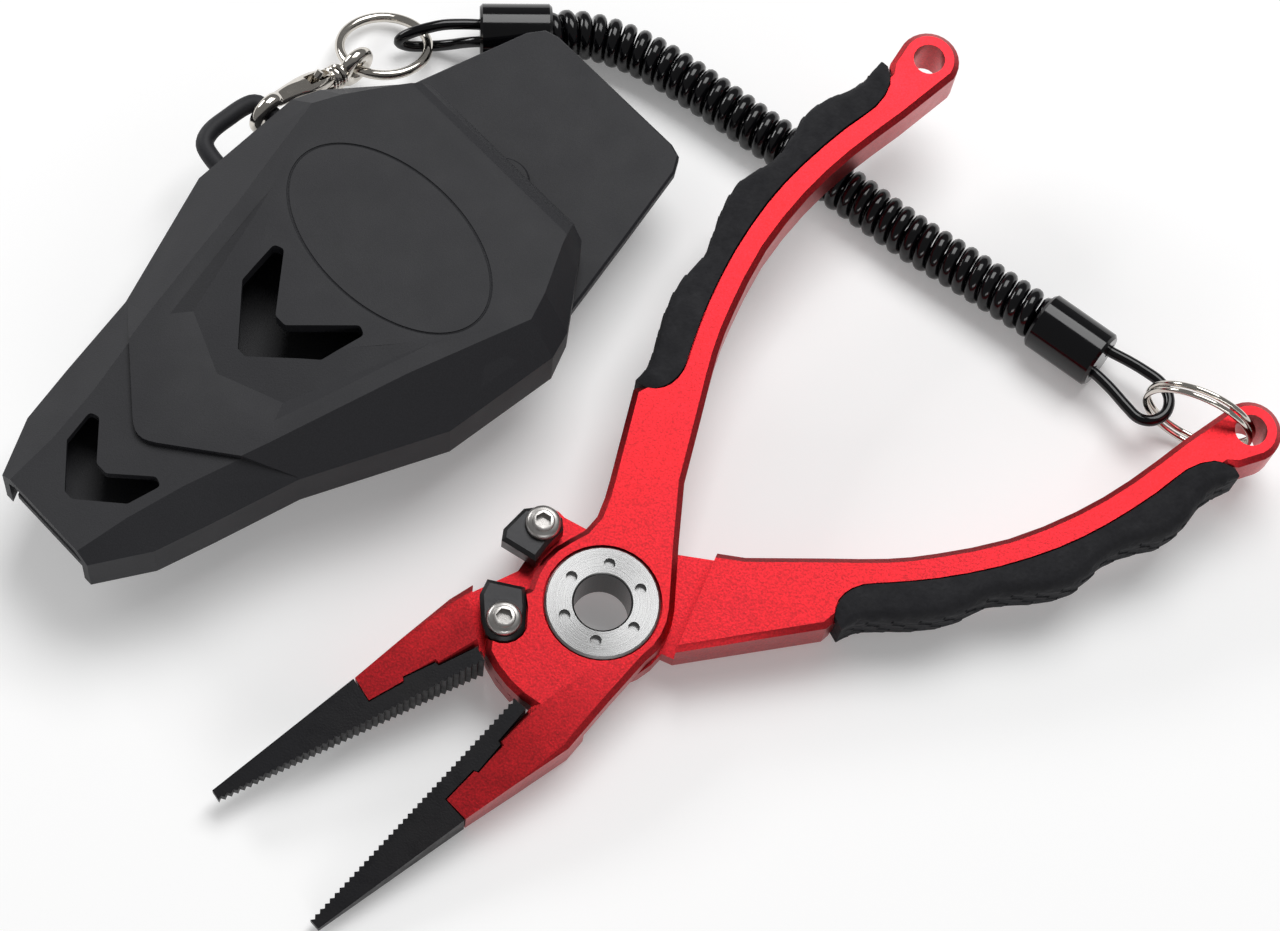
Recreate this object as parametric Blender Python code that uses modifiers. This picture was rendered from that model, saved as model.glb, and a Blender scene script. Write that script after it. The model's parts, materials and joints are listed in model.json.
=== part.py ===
"""Fishing pliers with a coiled safety lanyard and a belt sheath.

The object lies as it is laid out on a table: +Z up, z = 0 on the table, +X along the longest
side of the layout. All sizes below are in millimetres and are turned into metres by MM.

Each half of the pliers is drawn in its own half frame: the origin is on the pivot at the
middle of the thickness, +X runs along the closed tool towards the handles, the handle is at
+Y, the jaw lies below the X axis and the lap layer is the one at +Z. Half A is the same
drawing turned over about X, so its lap layer is the lower one.
"""
import math

import bmesh
import bpy
from mathutils import Matrix, Vector

MM = 0.001

# --- Driving dimensions, in millimetres --------------------------------------------------
LAYOUT_SHIFT = (-1.342, -1.564, 0.0)

PIVOT_PLACE = (-6.95, -30.28, 7.53)
PIVOT_EULER_DEG = (5.29, -3.84, 38.59)
OPEN_HALF_ANGLE = 10.0

HALF_THICKNESS = 5.0
CHAMFER = 1.0
LAP_GAP = 0.1
CLEARANCE = 0.3

JAW_ROOT_X = -20.0
JAW_TIP_X = -71.0
JAW_TIP_HALF_THICKNESS = 0.9
JAW_FACE_Y = -0.15
TOOTH_PITCH = 1.15
TOOTH_DEPTH = 0.5

POCKET_RADIUS = 21.6
SHOULDER_ANGLE = 50.6
SHOULDER_OFFSET = 14.28
DISC_RADIUS = 12.4
LOBE_RADIUS = 21.1
EAR_RADIUS = 4.7
EDGE_RADIUS = 15.35

HANDLE_HOLE = (112.4, 23.8)
HANDLE_HOLE_RADIUS = 2.8
HANDLE_END_RADIUS = 5.4

TONGUE_HALF = 2.5
GRIP_HALF = 5.3

FLANGE_RADIUS = 9.7
FLANGE_TOP = 5.3
FLANGE_SEAT = 3.5
TUBE_RADIUS = 6.5
BORE_RADIUS = 4.8
SPANNER_CIRCLE = 6.7
SPANNER_RADIUS = 1.0
SPANNER_DEPTH = 1.1
SPANNER_START = -18.0

SPRING_RADIUS = 8.0
SPRING_WIRE = 0.5
SPRING_TURNS = 2.75
SPRING_PITCH = 1.2
SPRING_LEG = 1.7

SCREW_HEAD_RADIUS = 3.0
SCREW_HEAD_HEIGHT = 1.7
SCREW_SHANK_RADIUS = 1.4
SCREW_SOCKET_RADIUS = 1.25
CUTTER_SCREW_A = (-2.4, -16.5)
CUTTER_SCREW_B = (-13.2, 10.0)
CUTTER_TOP = 5.3
CUTTER_LEDGE = 2.0

COIL_RADIUS = 4.4
COIL_HEIGHT = 4.5
FERRULE_RADIUS = 5.3
FERRULE_LENGTH = 13.0
FERRULE_HEIGHT = 5.4
FERRULE_BORE = 3.5
FERRULE_WALL = 4.0
LOOP_CORD_RADIUS = 1.0
FERRULE_UPPER = (-29.2, 82.4)
FERRULE_UPPER_ANGLE = 1.7
FERRULE_LOWER = (80.1, 19.7)
FERRULE_LOWER_ANGLE = 142.2
UPPER_STRANDS = 1.8
LOWER_STRANDS = 2.6

KEY_RING_CENTRE = (-46.3, 79.8, 4.2)
KEY_RING_TILT = 18.0
KEY_RING_RADIUS = 7.95
KEY_RING_WIRE = 0.9

SPLIT_RING_RADIUS = 9.5
SPLIT_RING_WIRE = 0.5
SPLIT_RING_PITCH = 1.3
SPLIT_RING_TURNS = 2.0
SPLIT_RING_HEADING = 153.5
SPLIT_RING_REACH = 8.7
SPLIT_RING_START = 235.0

SHEATH_ORIGIN = (-98.35, -21.68, 0.0)
SHEATH_ANGLE = 43.3
SHELL_WALL = 1.6
SHELL_BOTTOM = 12.0
PLATE_TOP = 14.4
STUD_PLACE = (100.4, -0.8)
BELT_CLIP_WIDTH = 22.0

CLIP_PLACE = (79.1, 36.2, 15.0)
CLIP_YAW = 3.8
CLIP_PITCH = 23.4
CLIP_EYE_X = 22.9
LEVER_PIVOT = (10.6, -0.8)
CUTTER_LINE = 120.0
CUTTER_GAP = 0.15
D_LOOP_RADIUS = 1.6
D_LOOP_HEIGHT = 15.0
HOOK_RADIUS = 3.15
HOOK_WIRE = 1.2

# --- Scene, collections and materials ----------------------------------------------------
for old in list(bpy.data.objects):
    bpy.data.objects.remove(old, do_unlink=True)

PARTS = bpy.data.collections.new("fishing_pliers")
CUTTERS = bpy.data.collections.new("cutters")
bpy.context.scene.collection.children.link(PARTS)
bpy.context.scene.collection.children.link(CUTTERS)


def material(name, colour, roughness, metallic=0.0):
    made = bpy.data.materials.new(name)
    made.use_nodes = True
    shader = made.node_tree.nodes["Principled BSDF"]
    shader.inputs["Base Color"].default_value = (*colour, 1.0)
    shader.inputs["Roughness"].default_value = roughness
    shader.inputs["Metallic"].default_value = metallic
    return made


RED = material("red_anodised_aluminium", (0.65, 0.02, 0.04), 0.32, 1.0)
RUBBER = material("black_rubber", (0.018, 0.018, 0.02), 0.75)
OXIDE = material("black_oxide_steel", (0.04, 0.04, 0.045), 0.45, 0.9)
BRUSHED = material("brushed_stainless", (0.62, 0.62, 0.63), 0.3, 1.0)
CARBIDE = material("cutter_steel", (0.13, 0.13, 0.14), 0.35, 1.0)
BRIGHT = material("bright_stainless", (0.75, 0.75, 0.76), 0.16, 1.0)
NICKEL = material("nickel_plate", (0.8, 0.77, 0.72), 0.14, 1.0)
GLOSSY = material("glossy_black_plastic", (0.008, 0.008, 0.01), 0.18)
CHARCOAL = material("charcoal_moulding", (0.045, 0.045, 0.052), 0.62)


# --- Frames ------------------------------------------------------------------------------
def frame(name, place=(0.0, 0.0, 0.0), turn_deg=(0.0, 0.0, 0.0), parent=None):
    empty = bpy.data.objects.new(name, None)
    PARTS.objects.link(empty)
    empty.parent = parent
    empty.location = Vector(place) * MM
    empty.rotation_euler = [math.radians(angle) for angle in turn_deg]
    return empty


def frame_along(name, place, direction, parent):
    """A frame whose Z axis lies along the direction."""
    empty = frame(name, place, parent=parent)
    empty.rotation_euler = Vector(direction).to_track_quat("Z", "Y").to_euler()
    return empty


# --- Plane geometry ----------------------------------------------------------------------
def polar(radius, degrees, centre=(0.0, 0.0)):
    angle = math.radians(degrees)
    return centre[0] + radius * math.cos(angle), centre[1] + radius * math.sin(angle)


def arc(radius, start, stop, centre=(0.0, 0.0), step=12.0):
    count = max(1, round(abs(stop - start) / step))
    return [polar(radius, start + (stop - start) * i / count, centre) for i in range(count + 1)]


def smooth(points, pieces=3):
    """Points on a Catmull-Rom curve through the given points, of any dimension."""
    points = [Vector(p) for p in points]
    padded = [2 * points[0] - points[1]] + points + [2 * points[-1] - points[-2]]
    curve = []
    for i in range(len(points) - 1):
        a, b, c, d = padded[i:i + 4]
        for k in range(pieces):
            t = k / pieces
            curve.append(0.5 * (2 * b + (c - a) * t + (2 * a - 5 * b + 4 * c - d) * t * t
                                + (3 * b - a - 3 * c + d) * t ** 3))
    curve.append(points[-1])
    return [tuple(p) for p in curve]


def offset_line(points, distance):
    """An open line moved to the left of its own direction by the distance."""
    points = [Vector(p) for p in points]
    moved = []
    for i, point in enumerate(points):
        before = points[max(i - 1, 0)]
        after = points[min(i + 1, len(points) - 1)]
        along = (after - before).normalized()
        moved.append((point.x - along.y * distance, point.y + along.x * distance))
    return moved


def mirrored_outline(half):
    """A closed outline from the half at +Y, which starts and ends near the X axis."""
    return list(half) + [(x, -y) for x, y in reversed(half)]


# --- Solids ------------------------------------------------------------------------------
def place(name, mesh, finish, parent, group=PARTS):
    made = bpy.data.objects.new(name, mesh)
    group.objects.link(made)
    made.parent = parent
    if finish is not None:
        mesh.materials.clear()
        mesh.materials.append(finish)
    if group is CUTTERS:
        made.hide_render = True
        made.display_type = "WIRE"
    return made


def from_curve(name, curve, finish, parent, group):
    """The curve as a closed mesh object, with its caps welded."""
    temporary = bpy.data.objects.new(name + "_curve", curve)
    bpy.context.scene.collection.objects.link(temporary)
    bpy.context.view_layer.update()
    graph = bpy.context.evaluated_depsgraph_get()
    mesh = bpy.data.meshes.new_from_object(temporary.evaluated_get(graph))
    mesh.name = name
    built = bmesh.new()
    built.from_mesh(mesh)
    bmesh.ops.remove_doubles(built, verts=built.verts, dist=0.00001)
    bmesh.ops.recalc_face_normals(built, faces=built.faces)
    built.to_mesh(mesh)
    built.free()
    bpy.data.objects.remove(temporary, do_unlink=True)
    bpy.data.curves.remove(curve)
    return place(name, mesh, finish, parent, group)


def plate(name, loops, low, high, finish, parent, chamfer=0.0, group=PARTS, upright=False):
    """A flat outline with its holes, between two heights. Upright ones are drawn in X and Z."""
    curve = bpy.data.curves.new(name, "CURVE")
    curve.dimensions = "2D"
    curve.fill_mode = "BOTH"
    curve.extrude = ((high - low) / 2 - chamfer) * MM
    curve.bevel_depth = chamfer * MM
    curve.bevel_resolution = 0
    curve.offset = -chamfer * MM
    for loop in loops:
        line = curve.splines.new("POLY")
        line.points.add(len(loop) - 1)
        for point, (x, y) in zip(line.points, loop):
            point.co = (x * MM, y * MM, 0.0, 1.0)
        line.use_cyclic_u = True
    made = from_curve(name, curve, finish, parent, group)
    made.data.transform(Matrix.Translation((0.0, 0.0, (low + high) / 2 * MM)))
    if upright:
        made.data.transform(Matrix.Rotation(math.pi / 2, 4, "X"))
    return made


def tube(name, points, radius, finish, parent, cyclic=False, group=PARTS, sides=2):
    curve = bpy.data.curves.new(name, "CURVE")
    curve.dimensions = "3D"
    curve.bevel_depth = radius * MM
    curve.bevel_resolution = sides
    curve.use_fill_caps = True
    line = curve.splines.new("POLY")
    line.points.add(len(points) - 1)
    for point, place_mm in zip(line.points, points):
        point.co = (*(Vector(place_mm) * MM), 1.0)
    line.use_cyclic_u = cyclic
    made = from_curve(name, curve, finish, parent, group)
    made.data.shade_smooth()
    return made


def turned(name, profile, finish, parent, steps=40, group=PARTS, closed=False):
    """A turned solid about Z. The profile holds (radius, height), top to bottom outside."""
    mesh = bpy.data.meshes.new(name)
    vertices = [(radius * MM, 0.0, height * MM) for radius, height in profile]
    edges = [(i, i + 1) for i in range(len(profile) - 1)]
    if closed:
        edges.append((len(profile) - 1, 0))
    mesh.from_pydata(vertices, edges, [])
    made = place(name, mesh, finish, parent, group)
    screw = made.modifiers.new("turned", "SCREW")
    screw.axis = "Z"
    screw.angle = 2 * math.pi
    screw.steps = steps
    screw.render_steps = steps
    screw.use_merge_vertices = True
    screw.merge_threshold = 0.00001
    screw.use_smooth_shade = True
    return made


def cylinder(name, radius, low, high, finish, parent, at=(0.0, 0.0), sides=32, group=PARTS):
    mesh = bpy.data.meshes.new(name)
    built = bmesh.new()
    bmesh.ops.create_cone(built, cap_ends=True, segments=sides, radius1=radius * MM,
                          radius2=radius * MM, depth=(high - low) * MM)
    bmesh.ops.translate(built, verts=built.verts,
                        vec=(at[0] * MM, at[1] * MM, (low + high) / 2 * MM))
    built.to_mesh(mesh)
    built.free()
    made = place(name, mesh, finish, parent, group)
    made.data.shade_smooth()
    made.data.set_sharp_from_angle(angle=math.radians(40))
    return made


def boolean(target, tool, operation):
    step = target.modifiers.new(tool.name, "BOOLEAN")
    step.operation = operation
    step.solver = "EXACT"
    step.object = tool


def cut(target, *tools):
    for tool in tools:
        boolean(target, tool, "DIFFERENCE")


def join(target, *tools):
    for tool in tools:
        boolean(target, tool, "UNION")


# --- Pliers: outlines in the half frame --------------------------------------------------
INNER_EDGE = [(25, 3.9), (37, 10.2), (46, 14.9), (54, 18), (66, 21.3), (78.5, 22.4),
              (89.5, 21.8), (101.4, 19.9)]
GRIP_LINE = [(107.5, 29), (104, 25.6), (99, 24.7), (92, 25.9), (82, 26.8), (72.5, 26.6),
             (62, 24.9), (52, 22), (44.5, 19), (40, 17.1), (36.5, 17), (34, 18.4), (32, 21.6)]
GRIP_OUTER = [(32.9, 22.1), (36, 22.3), (40, 24), (45, 26.5), (50, 28.3), (54, 28.8),
              (58, 28.8), (62, 30.2), (67, 32.3), (72, 33.4), (76, 32.7), (80, 31.7),
              (85, 32.2), (90, 33.3), (95, 32.4), (100, 30.3), (106.9, 29.8)]
TONGUE_OUTER = [(105.8, 27.4), (100, 27.9), (95, 29.8), (90, 30.6), (85, 29.7), (80, 29.2),
                (76, 30.1), (72, 30.8), (67, 29.8), (62, 27.8), (58, 26.4), (54, 26.3),
                (50, 25.8), (45, 24.0), (40, 21.5), (37, 20.1), (34.9, 19.9)]
JAW_HEEL = (-22, -12.3)
INSERT_SEAT = [(-20.8, -3.1), (-28.8, -3.3), (-29.0, -4.0), (-34.8, -4.2), (-35.1, -3.5),
               (-41.5, -3.3), (-41.8, -7.75)]
INSERT_TIP = [(-70.6, -2.1), (-70.4, JAW_FACE_Y)]
INSERT_END = -21.9

NECK_B = [(31.6, 21.2), (16.7, 13.3), (14.1, 12.0), (10.7, 10.7), (7.5, 10.6)]
NECK_A = [(31.0, 20.8), (6.8, 12.9)]
LOBE_A = [(-10.9, 5.9), (-20.2, 6.0)]



def cutting_line(radius, side):
    """A point on the radial line where both cutters meet, half a gap to one side of it."""
    x, y = polar(radius, CUTTER_LINE)
    dx, dy = polar(CUTTER_GAP, CUTTER_LINE - 90 * side)
    return x + dx, y + dy


CUTTER_B = ([cutting_line(13.0, -1), cutting_line(19.4, -1), (-12.6, 16.2), (-15.8, 13.2)]
            + arc(4.1, 170, 290, CUTTER_SCREW_B, 20) + [(-8.8, 8.6)])
CUTTER_A = [(x, -y) for x, y in [cutting_line(13.1, 1), cutting_line(19.8, 1), (-8.6, 18.8),
                                 (-3.9, 20.4), (-1.2, 19.4), (1.0, 16.0), (0.2, 14.1),
                                 (-3.2, 13.0)]]
LEDGE_B = [(-7.6, 11.3), (-10.5, 16.0), (-12.4, 15.6), (-15.2, 12.8), (-17.6, 9.8)]


def jaw_half_thickness(x):
    slope = (HALF_THICKNESS - JAW_TIP_HALF_THICKNESS) / (JAW_ROOT_X - JAW_TIP_X)
    return HALF_THICKNESS + slope * (x - JAW_ROOT_X)


def lap_side(half):
    """The outline from the neck over the top of the lap disc to the lobe by the jaw."""
    if half == "b":
        top = NECK_B + arc(DISC_RADIUS, 69, 120) + LEDGE_B
    else:
        top = NECK_A + arc(DISC_RADIUS, 64, 148) + LOBE_A
    return top + arc(LOBE_RADIUS, 156 if half == "b" else 164, 182.7, step=9)


def jaw_side(half):
    """The outline from the jaw's outer edge under the pivot to the start of the handle."""
    if half == "b":
        return [(-12, -11.9)] + arc(12.0, 258, 308) + [(16.2, -2.6)]
    return ([(-17.7, -12.7), (-9.1, -12.45)] + arc(EDGE_RADIUS, 235, 246)
            + arc(EAR_RADIUS, 192, 352, CUTTER_SCREW_A, 16)
            + [(4.6, -13.6), (6.4, -10.6), (8.4, -9.0), (16.2, -2.6)])


def handle_side():
    """The outline along the handle's inner edge, round its end and back along the tongue."""
    end = arc(HANDLE_END_RADIUS, -85, 105, HANDLE_HOLE)
    return smooth(INNER_EDGE, 2) + end + [(107.4, 28.4)] + TONGUE_OUTER


def half_outline(half):
    return jaw_side(half) + handle_side() + lap_side(half) + INSERT_SEAT + [JAW_HEEL]


# --- Pliers: solids ----------------------------------------------------------------------
def jaw_wedge(name, parent):
    """The envelope that thins the jaws towards their tips."""
    ends = [-75.0, -8.0]
    upper = [(x, jaw_half_thickness(x)) for x in ends] + [(130.0, jaw_half_thickness(-8.0))]
    lower = [(x, -z) for x, z in reversed(upper)]
    return plate(name, [upper + lower], -45, 45, None, parent, group=CUTTERS, upright=True)


def lap_pocket(name, parent):
    """The space that the other half's lap layer turns in."""
    spread = math.degrees(math.acos(SHOULDER_OFFSET / POCKET_RADIUS))
    outline = arc(POCKET_RADIUS, SHOULDER_ANGLE + spread, SHOULDER_ANGLE - spread + 360, step=9)
    return plate(name, [outline], -7, LAP_GAP, None, parent, group=CUTTERS)


def pivot_bores(name, parent):
    """Bearing bore, flange seat, spring pocket and washer recess in one turned cutter."""
    profile = [(0, 7), (FLANGE_RADIUS + 0.25, 7), (FLANGE_RADIUS + 0.25, FLANGE_SEAT),
               (TUBE_RADIUS + 0.15, FLANGE_SEAT), (TUBE_RADIUS + 0.15, 2.6), (9.4, 2.6),
               (9.4, 0.4), (11.9, 0.4), (11.9, -1.0), (0, -1.0)]
    return turned(name, profile, None, parent, steps=36, group=CUTTERS)


def grip_slabs(name, parent):
    """What is taken off both faces of the handle where the grip lies on it."""
    outline = smooth(GRIP_LINE, 2) + [(31.0, 26), (34, 42), (112, 42), (109.2, 29.6)]
    upper = plate(name + "_upper", [outline], TONGUE_HALF, 8, None, parent, group=CUTTERS)
    lower = plate(name + "_lower", [outline], -8, -TONGUE_HALF, None, parent, group=CUTTERS)
    return upper, lower


def make_half(half, parent):
    name = "half_" + half
    body = plate(name, [half_outline(half)], -HALF_THICKNESS, HALF_THICKNESS, RED, parent,
                 chamfer=CHAMFER)
    cut(body, lap_pocket("lap_pocket_" + half, parent))
    boolean(body, jaw_wedge("wedge_" + half, parent), "INTERSECT")
    cut(body, *grip_slabs("grip_slab_" + half, parent))
    cut(body, pivot_bores("bores_" + half, parent))
    hole = cylinder("handle_hole_" + half, HANDLE_HOLE_RADIUS, -8, 8, None, parent,
                    HANDLE_HOLE, 24, CUTTERS)
    screw = CUTTER_SCREW_B if half == "b" else CUTTER_SCREW_A
    shank = cylinder("shank_hole_" + half, SCREW_SHANK_RADIUS + 0.3, -8, 8, None, parent,
                     screw, 16, CUTTERS)
    leg = cylinder("spring_leg_hole_" + half, SPRING_WIRE + 0.3, 2.0, 4.2, None, parent,
                   spring_leg_place(half), 12, CUTTERS)
    cut(body, hole, shank, leg)
    if half == "b":
        seat = plate("cutter_seat", [CUTTER_B], CUTTER_LEDGE, 8, None, parent, group=CUTTERS)
        cut(body, seat)
    return body


def make_insert(half, parent):
    count = int((INSERT_END + 70.4) / TOOTH_PITCH)
    teeth = []
    for i in range(count):
        x = INSERT_TIP[1][0] + i * TOOTH_PITCH
        teeth.append((x + TOOTH_PITCH / 2, JAW_FACE_Y - TOOTH_DEPTH))
        teeth.append((x + TOOTH_PITCH, JAW_FACE_Y))
    seat = offset_line(INSERT_SEAT, -CLEARANCE)
    rear = [(INSERT_END, JAW_FACE_Y), (INSERT_END, seat[0][1])]
    outline = teeth + rear + seat[1:] + INSERT_TIP
    body = plate("jaw_insert_" + half, [outline], -HALF_THICKNESS - 1, HALF_THICKNESS + 1,
                 OXIDE, parent)
    boolean(body, jaw_wedge("insert_wedge_" + half, parent), "INTERSECT")
    return body


def make_grip(half, parent):
    inner = offset_line(smooth(GRIP_LINE, 2)[1:-1], -CLEARANCE)
    body = plate("grip_" + half, [inner + smooth(GRIP_OUTER, 2)], -GRIP_HALF, GRIP_HALF,
                 RUBBER, parent, chamfer=0.9)
    tongue = offset_line(TONGUE_OUTER, -CLEARANCE)
    inside = [(31.5, 21.5), (31.0, 10), (60, 12), (108, 18), (109, 28.2), (106.4, 28.2)]
    void = plate("tongue_void_" + half, [tongue + inside], -TONGUE_HALF - CLEARANCE,
                 TONGUE_HALF + CLEARANCE, None, parent, group=CUTTERS)
    cut(body, void)
    return body


def spring_leg_place(half):
    return polar(SPRING_RADIUS, 20.0 if half == "b" else -130.0)


def make_pivot(parent):
    tube_foot = -FLANGE_TOP
    flange = FLANGE_SEAT + CLEARANCE
    bushing = turned("pivot_bushing", [
        (BORE_RADIUS + 0.3, FLANGE_TOP), (FLANGE_RADIUS - 0.4, FLANGE_TOP),
        (FLANGE_RADIUS, FLANGE_TOP - 0.4), (FLANGE_RADIUS, flange), (TUBE_RADIUS, flange),
        (TUBE_RADIUS, tube_foot), (BORE_RADIUS, tube_foot), (BORE_RADIUS, FLANGE_TOP - 0.3)],
        BRUSHED, parent, 40, closed=True)
    for i in range(6):
        at = polar(SPANNER_CIRCLE, SPANNER_START + 60 * i)
        cut(bushing, cylinder(f"spanner_hole_{i}", SPANNER_RADIUS, FLANGE_TOP - SPANNER_DEPTH,
                              FLANGE_TOP + 1, None, parent, at, 12, CUTTERS))
    turned("pivot_nut", [
        (TUBE_RADIUS + CLEARANCE, -flange), (FLANGE_RADIUS, -flange),
        (FLANGE_RADIUS, -FLANGE_TOP + 0.4), (FLANGE_RADIUS - 0.4, -FLANGE_TOP),
        (TUBE_RADIUS + CLEARANCE, -FLANGE_TOP)], BRUSHED, parent, 32, closed=True)
    turned("thrust_washer", [(9.9, 0.2), (11.6, 0.2), (11.6, -0.2), (9.9, -0.2)],
           BRIGHT, parent, 28, closed=True)


def make_spring(parent):
    """The torsion spring about the pivot, with a leg up into half B and down into half A."""
    start = 20.0 + OPEN_HALF_ANGLE
    stop = start - 360.0 * SPRING_TURNS
    count = round(SPRING_TURNS * 16)
    height = SPRING_TURNS * SPRING_PITCH
    turns = []
    for i in range(count + 1):
        part = i / count
        x, y = polar(SPRING_RADIUS, start + (stop - start) * part)
        turns.append((x, y, height * (0.5 - part)))
    top = [(turns[0][0], turns[0][1], height / 2 + SPRING_LEG)]
    foot = [(turns[-1][0], turns[-1][1], -height / 2 - SPRING_LEG)]
    tube("torsion_spring", top + turns + foot, SPRING_WIRE, BRIGHT, parent, sides=1)


def make_cutter(half, parent):
    """A cutter block, whose screw stands on the tool's upper side in both halves."""
    up = 1 if half == "b" else -1
    outline = CUTTER_B if half == "b" else CUTTER_A
    seat = CUTTER_LEDGE + CLEARANCE if half == "b" else LAP_GAP + CLEARANCE - 0.1
    screw = CUTTER_SCREW_B if half == "b" else CUTTER_SCREW_A
    low, high = sorted((up * seat, up * CUTTER_TOP))
    if half == "b":
        outline = shrink_to(outline, screw)
    block = plate("cutter_" + half, [outline], low, high, CARBIDE, parent, chamfer=0.7)
    cut(block, cylinder("cutter_hole_" + half, SCREW_SHANK_RADIUS + 0.3, -8, 8, None, parent,
                        screw, 16, CUTTERS))
    foot = -4.4 if half == "a" else 0.4
    turned_screw("cutter_screw_" + half, parent, screw, up, foot)


def shrink_to(outline, centre, keep=2):
    """All but the first points, which are the cutting edge, drawn in from the seat's wall."""
    drawn = []
    for i, (x, y) in enumerate(outline):
        if i < keep:
            drawn.append((x, y))
            continue
        away = Vector((x - centre[0], y - centre[1]))
        away *= (away.length - CLEARANCE) / away.length
        drawn.append((centre[0] + away.x, centre[1] + away.y))
    return drawn


def turned_screw(name, parent, at, up, foot):
    """A button head screw with a hexagon socket, standing on a cutter's upper face."""
    turn = 0.0 if up > 0 else 180.0
    own = frame(name + "_frame", (at[0], at[1], 0.0), (turn, 0.0, 0.0), parent)
    seat = CUTTER_TOP + 0.15
    crown = []
    for i in range(6):
        angle = math.radians(90 - 14 * i)
        crown.append((SCREW_HEAD_RADIUS * math.cos(angle),
                      seat + SCREW_HEAD_HEIGHT * math.sin(angle)))
    crown[0] = (0.0, crown[0][1])
    profile = crown + [(SCREW_HEAD_RADIUS, seat), (SCREW_SHANK_RADIUS, seat),
                       (SCREW_SHANK_RADIUS, foot), (0.0, foot)]
    body = turned(name, profile, BRIGHT, own, 24)
    socket = cylinder(name + "_socket", SCREW_SOCKET_RADIUS, seat + 0.3, seat + 4, None, own,
                      (0, 0), 6, CUTTERS)
    cut(body, socket)


# --- Lanyard -----------------------------------------------------------------------------
COIL_ROUTE = [(-14.9, 83.3), (-10.0, 82.9), (-3.9, 81.3), (2.9, 77.9), (12.1, 71.4),
              (20.6, 64.9), (28.3, 59.2), (37.2, 52.0), (47.1, 44.2), (50.6, 41.7),
              (58.5, 36.1), (67.6, 29.8)]
UPPER_LOOP = [(-32.0, 84.0, 5.7), (-35.5, 83.5, 6.1), (-38.3, 82.9, 5.9), (-41.2, 82.2, 5.3),
              (-43.2, 81.6, 4.3), (-43.6, 81.3, 3.1), (-42.0, 81.4, 1.9), (-39.8, 81.7, 1.35),
              (-37.0, 81.9, 1.4), (-34.0, 81.6, 2.6), (-32.0, 81.2, 3.9)]
LOWER_LOOP = [(84.9, 19.9, 5.4), (87.6, 18.0, 5.6), (90.2, 15.6, 6.0), (91.4, 12.4, 6.4),
              (90.6, 9.4, 6.6), (88.2, 7.9, 6.6), (85.8, 8.5, 6.3), (83.9, 10.9, 5.9),
              (81.3, 14.6, 5.5)]


def make_ferrule(which, face, heading, strands, parent):
    """A barrel on the end of the coil, its crimp sleeve, and two holes for the cord loop.

    The face is where the loop leaves, and the heading points from there to the coil.
    """
    along = (*polar(1.0, heading), 0.0)
    own = frame_along("ferrule_frame_" + which, (face[0], face[1], FERRULE_HEIGHT), along,
                      parent)
    rim = 0.5
    barrel = turned("ferrule_" + which, [
        (0.0, FERRULE_WALL), (FERRULE_BORE, FERRULE_WALL), (FERRULE_BORE, FERRULE_LENGTH),
        (FERRULE_RADIUS - rim, FERRULE_LENGTH), (FERRULE_RADIUS, FERRULE_LENGTH - rim),
        (FERRULE_RADIUS, rim), (FERRULE_RADIUS - rim, 0.0), (0.0, 0.0)], GLOSSY, own, 32)
    sleeve = turned("crimp_sleeve_" + which, [
        (1.2, FERRULE_LENGTH - 1.5), (FERRULE_BORE - 0.4, FERRULE_LENGTH - 1.5),
        (FERRULE_BORE - 0.4, FERRULE_WALL + 0.6), (1.2, FERRULE_WALL + 0.6)],
        NICKEL, own, 24, closed=True)
    side = Vector((*polar(1.0, heading + 90), 0.0))
    local = own.rotation_euler.to_matrix().transposed() @ side
    for i, sign in enumerate((1, -1)):
        at = (local.x * strands * sign, local.y * strands * sign)
        cut(barrel, cylinder(f"strand_hole_{which}_{i}", LOOP_CORD_RADIUS + 0.3, -2,
                             FERRULE_WALL + 1, None, own, at, 14, CUTTERS))
    return barrel, sleeve


def loop_route(route, face, heading, strands):
    """The loop's own points with its two straight ends, which run into the ferrule."""
    side = Vector((*polar(1.0, heading + 90), 0.0))
    along = Vector((*polar(1.0, heading), 0.0))
    middle = Vector((face[0], face[1], FERRULE_HEIGHT))
    first = middle + side * strands
    last = middle - side * strands
    if (first - Vector(route[0])).length > (last - Vector(route[0])).length:
        first, last = last, first
    depth = FERRULE_WALL - 0.4
    return [first + along * depth, first] + route + [last, last + along * depth]


def make_lanyard(layout):
    route = [(x, y, COIL_HEIGHT) for x, y in COIL_ROUTE]
    tube("lanyard_coil", smooth(route, 5), COIL_RADIUS, GLOSSY, layout)
    make_ferrule("upper", FERRULE_UPPER, FERRULE_UPPER_ANGLE, UPPER_STRANDS, layout)
    make_ferrule("lower", FERRULE_LOWER, FERRULE_LOWER_ANGLE, LOWER_STRANDS, layout)
    upper = loop_route(UPPER_LOOP, FERRULE_UPPER, FERRULE_UPPER_ANGLE, UPPER_STRANDS)
    lower = loop_route(LOWER_LOOP, FERRULE_LOWER, FERRULE_LOWER_ANGLE, LOWER_STRANDS)
    tube("cord_loop_upper", smooth(upper, 2), LOOP_CORD_RADIUS, GLOSSY, layout)
    tube("cord_loop_lower", smooth(lower, 2), LOOP_CORD_RADIUS, GLOSSY, layout)
    ring = frame("key_ring_frame", KEY_RING_CENTRE, (-KEY_RING_TILT, 0, 0), layout)
    circle = [(*polar(KEY_RING_RADIUS, 15 * i), 0.0) for i in range(24)]
    tube("key_ring", circle, KEY_RING_WIRE, NICKEL, ring, cyclic=True)


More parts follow.
